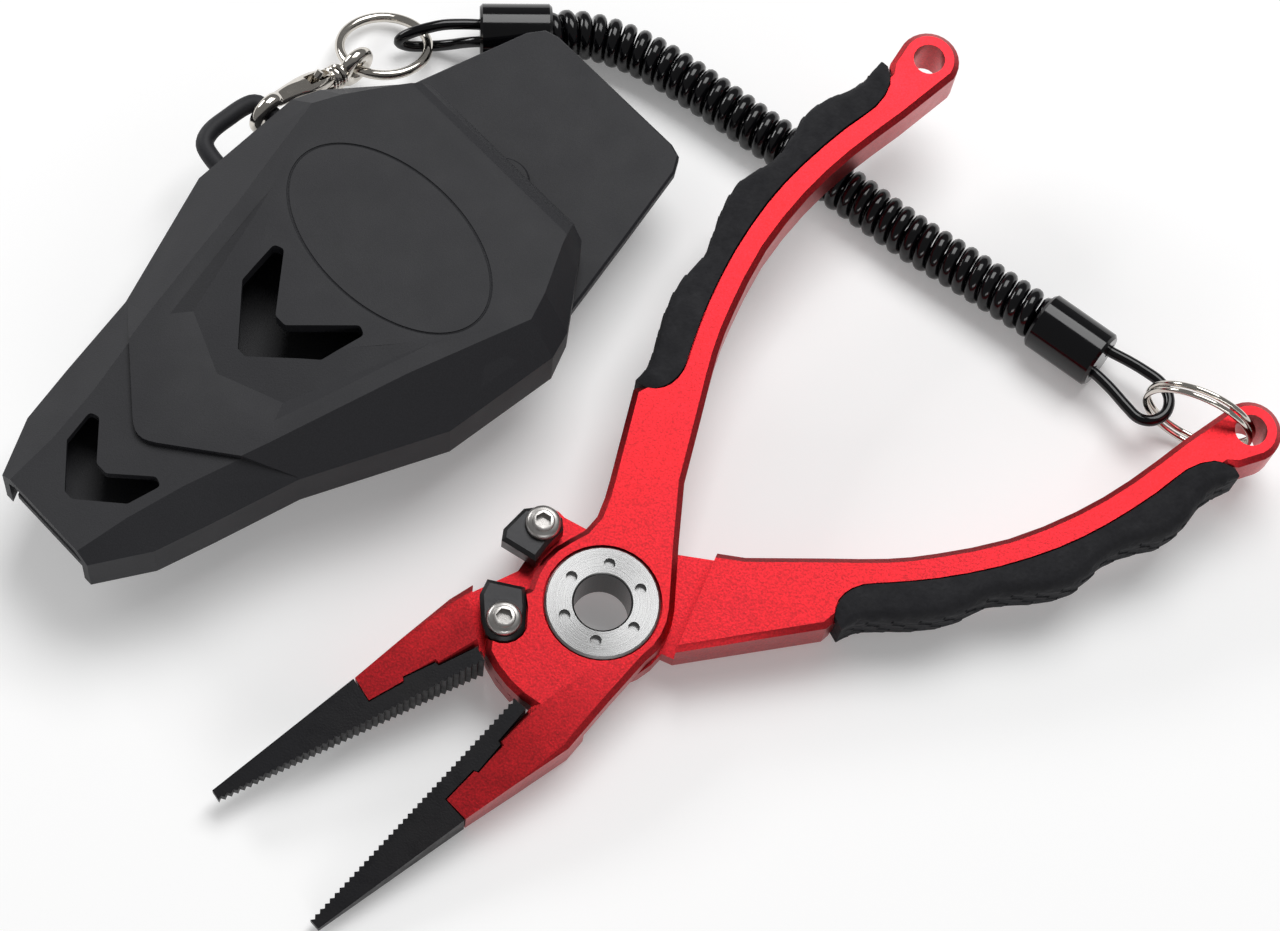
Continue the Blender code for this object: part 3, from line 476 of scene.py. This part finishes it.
def coil_line():
    """The helix of the cord, from the upper ferrule's bore to the lower one's."""
    inside = FERRULE_LENGTH - COIL_INSIDE
    start = ferrule_point(FERRULE_UPPER, FERRULE_UPPER_ANGLE, inside)
    stop = ferrule_point(FERRULE_LOWER, FERRULE_LOWER_ANGLE, inside)
    mouth_a = ferrule_point(FERRULE_UPPER, FERRULE_UPPER_ANGLE, FERRULE_LENGTH)
    mouth_b = ferrule_point(FERRULE_LOWER, FERRULE_LOWER_ANGLE, FERRULE_LENGTH)
    route = [(x, y, COIL_HEIGHT) for x, y in COIL_ROUTE]
    middle = [start, mouth_a] + [Vector(p) for p in route[1:-1]] + [mouth_b, stop]
    for i in (2, -3):
        middle[i] = middle[i] + Vector((0, 0, COIL_END_RISE * (FERRULE_HEIGHT - COIL_HEIGHT)))
    fine = spaced(smooth(middle, 12), COIL_PITCH / COIL_STEPS_PER_TURN)
    total = length_of(fine)
    radius = COIL_OUTER - COIL_WIRE
    line, along = [], 0.0
    for i, (point, _, side, up) in enumerate(line_frames(fine)):
        if i:
            along += (fine[i] - fine[i - 1]).length
        near_end = min(along, total - along)
        share = (near_end - COIL_END_STRAIGHT) / (COIL_INSIDE + 0.6 - COIL_END_STRAIGHT)
        share = min(1.0, max(0.0, share))
        share = share * share * (3 - 2 * share)
        angle = math.tau * i / COIL_STEPS_PER_TURN
        line.append(point + radius * share * (side * math.cos(angle) + up * math.sin(angle)))
    return line


coil_path = to_row(coil_line())
coil = swept("coiled_cord", coil_path, COIL_WIRE * MM, CORD, 12)
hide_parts("lanyard_coil")
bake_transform(coil)


def cord_loop(name, route, face, heading, strands, body):
    """The short cord that leaves a ferrule's face, goes round a ring and comes back."""
    side = direction(heading + 90)
    middle = Vector((*face, FERRULE_HEIGHT))
    first, last = middle + side * strands, middle - side * strands
    if (first - Vector(route[0])).length > (last - Vector(route[0])).length:
        first, last = last, first
    inner = direction(heading) * (FERRULE_WALL - 0.4)
    points = [first + inner, first] + [Vector(p) for p in route] + [last, last + inner]
    line = to_row(spaced(smooth(points, 8), 0.5))
    made = placed(swept(name + "_cord", line, LOOP_CORD_RADIUS * MM, CORD, 16), body, name)
    return made


cord_loop("cord_loop_upper", UPPER_LOOP, FERRULE_UPPER, FERRULE_UPPER_ANGLE, UPPER_STRANDS,
          "sheath")
cord_loop("cord_loop_lower", LOWER_LOOP, FERRULE_LOWER, FERRULE_LOWER_ANGLE, LOWER_STRANDS,
          "half_a")

# --- Solid helpers -----------------------------------------------------------------------
def rounded(outline, radius, steps=4):
    """The closed outline with each corner replaced by an arc of about the radius."""
    made = []
    count = len(outline)
    for i in range(count):
        point = Vector(outline[i])
        before = (Vector(outline[i - 1]) - point)
        after = (Vector(outline[(i + 1) % count]) - point)
        cosine = max(-0.999, min(0.999, before.normalized().dot(after.normalized())))
        half = math.acos(cosine) / 2
        reach = min(radius / math.tan(half), 0.45 * before.length, 0.45 * after.length)
        a = point + before.normalized() * reach
        b = point + after.normalized() * reach
        for k in range(steps + 1):
            t = k / steps
            made.append(tuple(a.lerp(point, t).lerp(point.lerp(b, t), t)))
    return made


def mirrored(half):
    return list(half) + [(x, -y) for x, y in reversed(half)]


def prism(outline, low, high):
    """A closed bmesh between two heights; each height is a number or a function of x and y."""
    built = bmesh.new()
    level = [f if callable(f) else (lambda x, y, f=f: f) for f in (low, high)]
    rows = [[built.verts.new((x, y, f(x, y))) for x, y in outline] for f in level]
    built.faces.new(rows[0])
    built.faces.new(rows[1])
    for i in range(len(outline)):
        k = (i + 1) % len(outline)
        built.faces.new((rows[0][i], rows[0][k], rows[1][k], rows[1][i]))
    bmesh.ops.recalc_face_normals(built, faces=built.faces)
    return built


def loft(rows, built=None):
    """A closed solid through rings of equal length."""
    built = built or bmesh.new()
    rings = [[built.verts.new(p) for p in row] for row in rows]
    count = len(rows[0])
    for near, far in zip(rings, rings[1:]):
        for i in range(count):
            k = (i + 1) % count
            built.faces.new((near[i], near[k], far[k], far[i]))
    built.faces.new(rings[0])
    built.faces.new(rings[-1])
    bmesh.ops.recalc_face_normals(built, faces=built.faces)
    return built


def solid(name, built):
    mesh = bpy.data.meshes.new(name)
    built.to_mesh(mesh)
    built.free()
    made = bpy.data.objects.new(name, mesh)
    SCENE.collection.objects.link(made)
    return made


def combined(target, steps):
    """The target's mesh after the Booleans in order; the tools are removed."""
    for operation, tool in steps:
        step = target.modifiers.new(tool.name, "BOOLEAN")
        step.operation = operation
        step.solver = "EXACT"
        step.object = tool
    bpy.context.view_layer.update()
    graph = bpy.context.evaluated_depsgraph_get()
    mesh = bpy.data.meshes.new_from_object(target.evaluated_get(graph))
    for _, tool in steps:
        bpy.data.objects.remove(tool, do_unlink=True)
    bpy.data.objects.remove(target, do_unlink=True)
    return mesh


def ring_solid(name, points, radius, sides=8):
    built = bmesh.new()
    rings = []
    count = len(points)
    for i, point in enumerate(points):
        along = (points[(i + 1) % count] - points[i - 1]).normalized()
        side = Vector((0, 0, 1)).cross(along).normalized()
        up = along.cross(side)
        rings.append([built.verts.new(point + radius * (side * math.cos(a) + up * math.sin(a)))
                      for a in (math.tau * k / sides for k in range(sides))])
    for i in range(count):
        near, far = rings[i], rings[(i + 1) % count]
        for k in range(sides):
            m = (k + 1) % sides
            built.faces.new((near[k], near[m], far[m], far[k]))
    bmesh.ops.recalc_face_normals(built, faces=built.faces)
    return solid(name, built)


# --- Rings -------------------------------------------------------------------------------
KEY_RING = turned_frame((-46.3, 79.8, 4.2), (-18.0, 0, 0), LAYOUT)
KEY_RING_RADIUS = 7.95
KEY_RING_WIRE = 0.9
SPLIT_RING_RADIUS = 9.5
SPLIT_RING_WIRE = 0.5
SPLIT_RING_TURNS = 2.0
SPLIT_RING_PITCH = 1.3
SPLIT_RING_START = 235.0


def joint_frame(name):
    """A frame in millimetres on a joint, with Z along its axis and X level."""
    joint = next(j for j in frame["joints"] if j["name"] == name)
    axis = Vector(joint["axis"]).normalized()
    level = Vector((0, 0, 1)).cross(axis).normalized()
    turn = Matrix((level, axis.cross(level), axis)).transposed()
    return (Matrix.Translation(Vector(joint["pos_m"])) @ turn.to_4x4()
            @ Matrix.Scale(MM, 4))


def helix(radius, start, turns, rise, count):
    """Points on a helix about Z with its middle at z = 0; the start is in degrees."""
    made = []
    for i in range(count + 1):
        part = i / count
        a = math.radians(start + 360.0 * turns * part)
        made.append(Vector((radius * math.cos(a), radius * math.sin(a), rise * (part - 0.5))))
    return made


key_ring_line = to_row([(KEY_RING_RADIUS * math.cos(a), KEY_RING_RADIUS * math.sin(a), 0.0)
                        for a in (math.tau * i / 96 for i in range(96))], KEY_RING)
placed(swept("key_ring_wire", key_ring_line, KEY_RING_WIRE * MM, NICKEL, 20, closed=True),
       "key_ring", "key_ring")
split_ring_line = to_row(helix(SPLIT_RING_RADIUS, SPLIT_RING_START, SPLIT_RING_TURNS,
                               SPLIT_RING_PITCH * SPLIT_RING_TURNS, 192),
                         joint_frame("split_ring_spin"))
placed(swept("split_ring_wire", split_ring_line, SPLIT_RING_WIRE * MM, NICKEL, 14),
       "split_ring", "split_ring")

# --- Torsion spring ----------------------------------------------------------------------
SPRING_RADIUS = 8.0
SPRING_WIRE = 0.5
SPRING_START = 30.0
SPRING_TURNS = 2.75
SPRING_RISE = 3.3
SPRING_LEG = Vector((0, 0, 1.7))

spring_line = helix(SPRING_RADIUS, SPRING_START, -SPRING_TURNS, -SPRING_RISE, 132)
spring_line = [spring_line[0] + SPRING_LEG] + spring_line + [spring_line[-1] - SPRING_LEG]
spring = swept("torsion_spring_wire", to_row(spring_line, PLIERS), SPRING_WIRE * MM, BRIGHT, 12)
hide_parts("torsion_spring")
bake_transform(spring)

# --- Cutter screws -----------------------------------------------------------------------
SCREW_SEAT = 5.45
SCREW_SHANK_RADIUS = 1.4
SCREW_SOCKET_RADIUS = 1.42
SCREW_SOCKET_FLOOR = 0.35
SCREW_CROWN = [(0.0, 1.68), (1.62, 1.68), (1.8, 1.6), (1.9, 1.36), (2.02, 1.3), (2.35, 1.24),
               (2.62, 1.06), (2.84, 0.8), (2.96, 0.5), (3.0, 0.2), (2.94, 0.0)]


def lathe(profile, count=64):
    """A closed bmesh turned about Z from a profile that starts and ends on the axis."""
    built = bmesh.new()
    rings = []
    for r, z in profile:
        if r == 0.0:
            rings.append([built.verts.new((0.0, 0.0, z))])
        else:
            rings.append([built.verts.new((r * math.cos(a), r * math.sin(a), z))
                          for a in (math.tau * k / count for k in range(count))])
    for near, far in zip(rings, rings[1:]):
        for k in range(count):
            m = (k + 1) % count
            corner = [near[k % len(near)], near[m % len(near)],
                      far[m % len(far)], far[k % len(far)]]
            built.faces.new(list(dict.fromkeys(corner)))
    bmesh.ops.recalc_face_normals(built, faces=built.faces)
    return built


def cutter_screw(half, at, parent, flip, foot):
    """A button head with a rounded rim, a flat land, a raised lip and a hexagon socket."""
    own = turned_frame((at[0], at[1], 0.0), (flip, 0.0, 0.0), parent)
    profile = [(r, SCREW_SEAT + z) for r, z in SCREW_CROWN] + [
        (SCREW_SHANK_RADIUS, SCREW_SEAT), (SCREW_SHANK_RADIUS, foot), (0.0, foot)]
    body = solid("screw_" + half, lathe(profile))
    hexagon = [(SCREW_SOCKET_RADIUS * math.cos(a), SCREW_SOCKET_RADIUS * math.sin(a))
               for a in (math.tau * k / 6 for k in range(6))]
    socket = solid("socket_" + half, prism(hexagon, SCREW_SEAT + SCREW_SOCKET_FLOOR,
                                           SCREW_SEAT + 4.0))
    mesh = combined(body, [("DIFFERENCE", socket)])
    mesh.transform(own)
    return finished("cutter_screw_" + half + "_head", mesh, SCREW, 28)


placed(cutter_screw("a", (-2.4, -16.5), HALF_A, 180.0, -4.4), "half_a", "cutter_screw_a")
placed(cutter_screw("b", (-13.2, 10.0), HALF_B, 0.0, 0.4), "half_b", "cutter_screw_b")

# --- Grips -------------------------------------------------------------------------------
GRIP_LINE = [(107.5, 29), (104, 25.6), (99, 24.7), (92, 25.9), (82, 26.8), (72.5, 26.6),
             (62, 24.9), (52, 22), (44.5, 19), (40, 17.1), (36.5, 17), (34, 18.4), (32, 21.6)]
GRIP_OUTER = [(32.9, 22.1), (36, 22.3), (40, 24), (45, 26.5), (50, 28.3), (54, 28.8),
              (58, 28.8), (62, 30.2), (67, 32.3), (72, 33.4), (76, 32.7), (80, 31.7),
              (85, 32.2), (90, 33.3), (95, 32.4), (100, 30.3), (106.9, 29.8)]
GRIP_TONGUE = [(105.8, 27.4), (100, 27.9), (95, 29.8), (90, 30.6), (85, 29.7), (80, 29.2),
               (76, 30.1), (72, 30.8), (67, 29.8), (62, 27.8), (58, 26.4), (54, 26.3),
               (50, 25.8), (45, 24), (40, 21.5), (37, 20.1), (34.9, 19.9)]
GRIP_HALF = 5.3
GRIP_EDGE = 2.6
TONGUE_SLOT = 2.8
SCALE_PITCH = 4.0
SCALE_RISE = 0.4
GRIP_FROM = 33.2
GRIP_TO = 106.6
GRIP_STEPS = 190


def height_on(line, x):
    """The line's y at x."""
    line = sorted((p[0], p[1]) for p in line)
    for near, far in zip(line, line[1:]):
        if near[0] <= x <= far[0]:
            return near[1] + (far[1] - near[1]) * (x - near[0]) / max(far[0] - near[0], 1e-9)
    return line[0][1] if x < line[0][0] else line[-1][1]


def scale_depth(along, z):
    """How deep the fish scale relief lies under the grip's outer face."""
    row = math.floor((z + GRIP_HALF) / (SCALE_PITCH * 0.55))
    across = (z + GRIP_HALF) / (SCALE_PITCH * 0.55) - row - 0.5
    at = along / SCALE_PITCH + 0.5 * (row % 2) + 0.9 * across * across
    return SCALE_RISE * (1.0 - (at - math.floor(at))) ** 1.3


def grip_rows():
    """Rings along the grip: a pillow-edged outside with scales, and a slot for the tongue."""
    inner, outer, tongue = (smooth([(x, y, 0) for x, y in line], 4)
                            for line in (GRIP_LINE, GRIP_OUTER, GRIP_TONGUE))
    rows = []
    for i in range(GRIP_STEPS + 1):
        x = GRIP_FROM + (GRIP_TO - GRIP_FROM) * i / GRIP_STEPS
        low = height_on(inner, x) + 0.3
        high = max(height_on(outer, x), low + 0.6)
        slot = min(max(height_on(tongue, x) + 0.3, low + 0.05), high - 0.4)
        near = min(i, GRIP_STEPS - i) / GRIP_STEPS * (GRIP_TO - GRIP_FROM)
        edge = min(GRIP_EDGE, 0.7 * (high - low), 0.5 + near * 0.5)
        half = GRIP_HALF - max(0.0, 0.9 - near * 0.4)
        row = [(low, half)]
        for k in range(7):
            a = math.pi / 2 * k / 6
            row.append((high - edge + edge * math.sin(a), half - edge + edge * math.cos(a)))
        side = 30
        for k in range(1, side):
            row.append((high, (half - edge) * (1 - 2 * k / side)))
        for k in range(7):
            a = math.pi / 2 * k / 6
            row.append((high - edge + edge * math.cos(a), -half + edge - edge * math.sin(a)))
        row.append((low, -half))
        shown = []
        for y, z in row:
            share = max(0.0, min(1.0, (y - (high - 0.7)) / 0.7)) * min(1.0, near / 3.0)
            shown.append((x, y - share * scale_depth(x, z), z))
        shown += [(x, low, -TONGUE_SLOT), (x, slot, -TONGUE_SLOT), (x, slot, TONGUE_SLOT),
                  (x, low, TONGUE_SLOT)]
        rows.append(shown)
    return rows


for half, parent in (("a", HALF_A), ("b", HALF_B)):
    grip_built = loft(grip_rows())
    bmesh.ops.transform(grip_built, matrix=parent, verts=grip_built.verts)
    placed(new_piece("grip_" + half + "_cover", grip_built, RUBBER, 40), "half_" + half,
           "grip_" + half)

# --- Snap clip ---------------------------------------------------------------------------
def flat_tube(points, widths, heights, sides=24):
    """A closed bmesh along a line in the XZ plane, with an oval section at each point."""
    built = bmesh.new()
    rings = []
    for i, point in enumerate(points):
        along = (points[min(i + 1, len(points) - 1)] - points[max(i - 1, 0)]).normalized()
        up = Vector((-along.z, 0.0, along.x))
        rings.append([built.verts.new(point + Vector((0, 1, 0)) * widths[i] * math.cos(a)
                                      + up * heights[i] * math.sin(a))
                      for a in (math.tau * k / sides for k in range(sides))])
    for near, far in zip(rings, rings[1:]):
        for k in range(sides):
            m = (k + 1) % sides
            built.faces.new((near[k], near[m], far[m], far[k]))
    built.faces.new(rings[0])
    built.faces.new(rings[-1])
    bmesh.ops.recalc_face_normals(built, faces=built.faces)
    return built


def tapered(knots, pieces=8):
    """A smooth flat tube through knots of x, z, half width and half height."""
    line = smooth([(x, 0.0, z) for x, z, _, _ in knots], pieces)
    sizes = smooth([(w, h, 0.0) for _, _, w, h in knots], pieces)
    return flat_tube(line, [v.x for v in sizes], [v.y for v in sizes])


def turned_x(name, profile, count=48):
    built = lathe(profile, count)
    bmesh.ops.rotate(built, verts=built.verts, matrix=Matrix.Rotation(math.pi / 2, 3, "Y"))
    return solid(name, built)


def upright(name, outline, half):
    """A solid between y minus half and plus half, whose outline is in x and z."""
    built = prism([(x, -z) for x, z in outline], -half, half)
    bmesh.ops.rotate(built, verts=built.verts, matrix=Matrix.Rotation(-math.pi / 2, 3, "X"))
    return solid(name, built)


HOOK_SLOT = [(8.7, 6.0), (8.7, 1.2), (5.2, 1.2), (5.2, -6.0), (14.7, -6.0), (14.7, 6.0)]
HOOK = [(15.6, 0.9, 1.5, 1.3), (13.4, 1.5, 2.0, 1.5), (10.6, 2.0, 2.25, 1.45),
        (7.8, 2.5, 2.1, 1.3), (5.0, 2.85, 1.75, 1.2)]
HOOK_BEND = [(3.15 * math.cos(math.radians(a)), 3.15 * math.sin(math.radians(a)), w, 1.15)
             for a, w in ((62, 1.5), (90, 1.4), (120, 1.3), (150, 1.25), (180, 1.2),
                          (210, 1.2), (240, 1.2), (270, 1.2))]
HOOK_RAIL = [(16.0, -1.0, 1.4, 1.1), (13.6, -1.7, 1.9, 1.15), (11.0, -2.0, 2.0, 0.9),
             (9.0, -2.1, 1.8, 0.75), (7.9, -1.6, 1.5, 0.6), (6.8, -0.2, 1.4, 0.6),
             (6.1, 1.5, 1.5, 0.8)]
COLLAR = [(0.0, 14.9), (2.0, 14.9), (2.25, 15.15), (2.25, 15.5), (2.05, 15.7), (2.3, 15.95),
          (2.3, 16.25), (2.1, 16.45), (2.3, 16.7), (2.3, 17.0), (2.0, 17.2), (0.0, 17.2)]
hook_mesh = combined(
    solid("hook_bow", tapered(HOOK + HOOK_BEND + [(2.2, -3.15, 1.1, 1.05)])),
    [("UNION", solid("hook_rail", tapered(HOOK_RAIL))),
     ("UNION", turned_x("hook_collar", COLLAR)),
     ("DIFFERENCE", upright("hook_slot", HOOK_SLOT, 1.05)),
     ("DIFFERENCE", solid("hook_throat", loft([
         [(x, 1.25 * math.cos(a + 0.2), 1.25 * math.sin(a + 0.2))
          for a in (math.tau * k / 20 for k in range(20))] for x in (14.6, 18.5)])))])
hook_mesh.transform(CLIP)
placed(finished("clip_hook_body", hook_mesh, NICKEL, 40), "sheath", "clip_hook")
LEVER = [(3.3, -3.15, 0.6, 0.6), (6.0, -2.75, 0.75, 0.75), (8.8, -2.2, 0.75, 0.8),
         (10.6, -0.9, 0.75, 1.1), (10.9, 1.4, 0.75, 0.75), (11.3, 3.0, 0.75, 0.6),
         (11.9, 4.3, 0.7, 0.45)]
lever_bore = lathe([(0.0, -4.0), (0.75, -4.0), (0.75, 4.0), (0.0, 4.0)], 24)
bmesh.ops.rotate(lever_bore, verts=lever_bore.verts, matrix=Matrix.Rotation(math.pi / 2, 3, "X"))
bmesh.ops.translate(lever_bore, verts=lever_bore.verts, vec=(10.6, 0.0, -0.8))
lever_mesh = combined(solid("lever_bar", tapered(LEVER)),
                      [("DIFFERENCE", solid("lever_bore", lever_bore))])
lever_mesh.transform(CLIP)
placed(finished("clip_lever_bar", lever_mesh, NICKEL, 40), "clip_lever", "clip_lever")
STEM = [(0.0, 13.6), (0.98, 13.6), (0.98, 14.6), (0.92, 14.75), (0.92, 17.45), (2.1, 17.5),
        (2.3, 17.7), (2.3, 18.0), (2.1, 18.2), (2.2, 18.4), (2.0, 18.9), (1.6, 19.6),
        (1.3, 20.6), (1.0, 21.0), (0.0, 21.0)]
EYE_CENTRE = Vector((22.9, 0.0, 0.0))
EYE_RADIUS = 2.75
EYE_WIRE = 1.3
eye_line = [EYE_CENTRE + Vector((EYE_RADIUS * math.cos(a), 0.0, EYE_RADIUS * math.sin(a)))
            for a in (math.tau * k / 48 for k in range(48))]
eye_built = bmesh.new()
eye_rings = []
for k, point in enumerate(eye_line):
    out = (point - EYE_CENTRE).normalized()
    eye_rings.append([eye_built.verts.new(point + EYE_WIRE * (out * math.cos(a)
                                                              + Vector((0, 1, 0)) * math.sin(a)))
                      for a in (math.tau * m / 24 for m in range(24))])
for k in range(48):
    near, far = eye_rings[k], eye_rings[(k + 1) % 48]
    for m in range(24):
        n = (m + 1) % 24
        eye_built.faces.new((near[m], near[n], far[n], far[m]))
bmesh.ops.recalc_face_normals(eye_built, faces=eye_built.faces)
swivel_mesh = combined(turned_x("swivel_stem", STEM), [("UNION", solid("eye", eye_built))])
swivel_mesh.transform(CLIP)
placed(finished("clip_swivel_body", swivel_mesh, NICKEL, 40), "swivel_eye",
       "clip_swivel_eye")

# --- Sheath front ------------------------------------------------------------------------
# Distance from the tip, half width of the wall, foot, top of the wall, half width of the
# ridge, and height of the top, all in the sheath's own frame.
STATIONS = [
    (0.0, 10.8, 12.0, 20.0, 8.5, 22.0),
    (9.6, 16.1, 12.0, 20.0, 9.5, 22.4),
    (20.0, 18.6, 12.0, 20.0, 11.5, 23.0),
    (35.5, 22.0, 12.0, 20.0, 15.7, 24.0),
    (60.0, 32.0, 12.0, 20.0, 21.5, 24.8),
    (82.0, 33.3, 12.0, 20.0, 27.7, 25.0),
    (87.0, 31.5, 14.8, 20.0, 25.6, 25.0),
    (95.6, 24.5, 14.8, 20.0, 20.7, 24.9),
    (97.6, 22.9, 14.8, 20.0, 19.7, 24.5),
    (99.3, 21.5, 14.8, 19.9, 18.9, 23.6),
    (100.5, 20.4, 14.8, 19.6, 18.1, 22.4),
    (101.0, 20.0, 14.8, 19.4, 17.7, 21.5),
]
RAISED = 1.0
WALL = 1.6
OVERLAY_EDGE = [(20.2, 0.0), (20.35, 1.0), (20.8, 2.0), (21.6, 3.2), (29.6, 13.6), (35.4, 21.4),
                (36.0, 24.0)]
RECESS_OUTER = [(29.9, 0.0), (37.9, 13.3), (67.5, 20.2)]
RECESS_INNER = [(37.0, 0.0), (41.5, 11.3), (67.5, 20.2)]
RECESS_FLOOR = [(47.0, 0.0), (50.0, 7.0), (67.5, 20.2)]
RECESS_DEPTH = 0.9
CHEVRON_SMALL = [(5.2, 0.9), (11.3, 7.7), (17.3, 9.0), (17.8, 7.2), (12.2, 1.2)]
CHEVRON_LARGE = [(42.3, 0.9), (51.1, 10.0), (59.3, 11.4), (60.0, 9.6), (50.8, 1.2)]
OVAL = (74.5, -0.5, 12.5, 21.5)
D_LOOP = [(65.6, 31.5), (65.7, 35.4), (66.6, 38.6), (69.2, 39.9), (73.0, 40.0), (76.6, 39.8),
          (78.6, 38.9), (79.1, 36.2), (79.2, 31.6)]
D_LOOP_HEIGHT = 15.4
D_LOOP_RADIUS = 1.6
GROOVE_RADIUS = 0.24
CHEVRON_CORNER = 0.9
ABOVE_ALL = 40.0


def station_at(x):
    x = max(STATIONS[0][0], min(STATIONS[-1][0], x))
    for near, far in zip(STATIONS, STATIONS[1:]):
        if x <= far[0]:
            t = (x - near[0]) / (far[0] - near[0])
            return [a + (b - a) * t for a, b in zip(near, far)]
    return list(STATIONS[-1])


def top_at(x):
    return station_at(x)[5]


def section(row, raised=0.0, inset=0.0, drop=0.0, foot=None):
    x, wall, low, edge, ridge, top = row
    low = low if foot is None else foot
    half = [(wall - inset, low), (wall - inset, edge - drop * 0.5),
            (ridge - inset * 0.6, top - drop + raised)]
    return [(x, y, z) for y, z in half] + [(x, -y, z) for y, z in reversed(half)]


def sheath_front():
    shell_rows = []
    for row in STATIONS:
        outer = section(row)
        inner = section(row, inset=WALL, drop=WALL)
        shell_rows.append(outer + list(reversed(inner)))
    shell = solid("sheath_front_solid", loft(shell_rows))
    edge = [p for p in STATIONS if p[0] > 35.5]
    over_rows = []
    for x in [15.0, 20.0, 35.5] + [row[0] for row in edge]:
        row = station_at(x)
        top = section(row, raised=RAISED)
        low = section(row, inset=0.4, drop=0.8, foot=row[3] - 1.0)
        top = [top[1], top[2], top[3], top[4]]
        low = [low[1], low[2], low[3], low[4]]
        top[0] = (x, row[1], row[3])
        top[3] = (x, -row[1], row[3])
        over_rows.append(top + list(reversed(low)))
    overlay = solid("overlay", loft(over_rows))
    half = [(110.0, 42.0), (36.5, 42.0)] + list(reversed(OVERLAY_EDGE))
    plan = half[:-1] + [(half[-1][0], 0.0)] + [(x, -y) for x, y in reversed(half[:-1])]
    region = solid("region", prism(plan, 5.0, ABOVE_ALL))
    overlay_mesh = combined(overlay, [("INTERSECT", region)])
    overlay = bpy.data.objects.new("overlay_cut", overlay_mesh)
    SCENE.collection.objects.link(overlay)

    recess = bmesh.new()
    lines = []
    for line, depth in ((RECESS_OUTER, -0.06), (RECESS_INNER, RECESS_DEPTH),
                        (RECESS_FLOOR, -0.06)):
        full = [(x, -y) for x, y in reversed(line)] + list(line[1:])
        last = len(full) - 1
        lines.append([(x, y, top_at(x) + RAISED + (0.06 if i in (0, last) else -depth))
                      for i, (x, y) in enumerate(full)])
    vert = {}

    def v(point):
        key = tuple(round(c, 4) for c in point)
        if key not in vert:
            vert[key] = recess.verts.new(point)
        return vert[key]

    def lifted(point):
        return (point[0], point[1], ABOVE_ALL)

    for near, far in zip(lines, lines[1:]):
        for i in range(len(near) - 1):
            quad = []
            for p in (near[i], near[i + 1], far[i + 1], far[i]):
                if p not in quad:
                    quad.append(p)
            recess.faces.new([v(p) for p in quad])
            recess.faces.new([v(lifted(p)) for p in reversed(quad)])
    border = lines[0] + list(reversed(lines[2]))[1:-1]
    for i in range(len(border)):
        a, b = border[i], border[(i + 1) % len(border)]
        recess.faces.new((v(a), v(lifted(a)), v(lifted(b)), v(b)))
    bmesh.ops.recalc_face_normals(recess, faces=recess.faces)

    cx, cy, rx, ry = OVAL
    groove = ring_solid("groove", [
        Vector((cx + rx * math.cos(a), cy + ry * math.sin(a),
                top_at(cx + rx * math.cos(a)) + RAISED))
        for a in (math.tau * i / 96 for i in range(96))], GROOVE_RADIUS)
    tools = [("UNION", overlay), ("DIFFERENCE", solid("recess", recess)),
             ("DIFFERENCE", groove)]
    for outline in (CHEVRON_SMALL, CHEVRON_LARGE):
        tools.append(("DIFFERENCE", solid("chevron", prism(
            rounded(mirrored(outline), CHEVRON_CORNER), 16.0, ABOVE_ALL))))
    mesh = combined(shell, tools)
    mesh.transform(SHEATH)
    return mesh


placed(finished("sheath_front", sheath_front(), CHARCOAL, 12), "sheath", "sheath_shell")
loop_line = to_row(spaced(smooth([(x, y, D_LOOP_HEIGHT) for x, y in D_LOOP], 8), 0.6), SHEATH)
placed(swept("sheath_d_loop", loop_line, D_LOOP_RADIUS * MM, CHARCOAL, 16), "sheath",
       "sheath_shell")

# --- Floor -------------------------------------------------------------------------------
floor_mesh = bpy.data.meshes.new("floor")
floor_built = bmesh.new()
bmesh.ops.create_grid(floor_built, x_segments=1, y_segments=1, size=6.0)
bmesh.ops.translate(floor_built, verts=floor_built.verts, vec=(0, 0, -0.0003))
floor_built.to_mesh(floor_mesh)
floor_built.free()
FLOOR = material("floor", (0.86, 0.86, 0.86), 0.9, grain=(400, 0.0), soft=(3, 0.01),
                 bump=(500, 0.0))
FLOOR.node_tree.nodes["Principled BSDF"].inputs["Emission Color"].default_value = (1, 1, 1, 1)
FLOOR.node_tree.nodes["Principled BSDF"].inputs["Emission Strength"].default_value = 0.2
floor_mesh.materials.append(FLOOR)
floor = bpy.data.objects.new("floor", floor_mesh)
SCENE.collection.objects.link(floor)
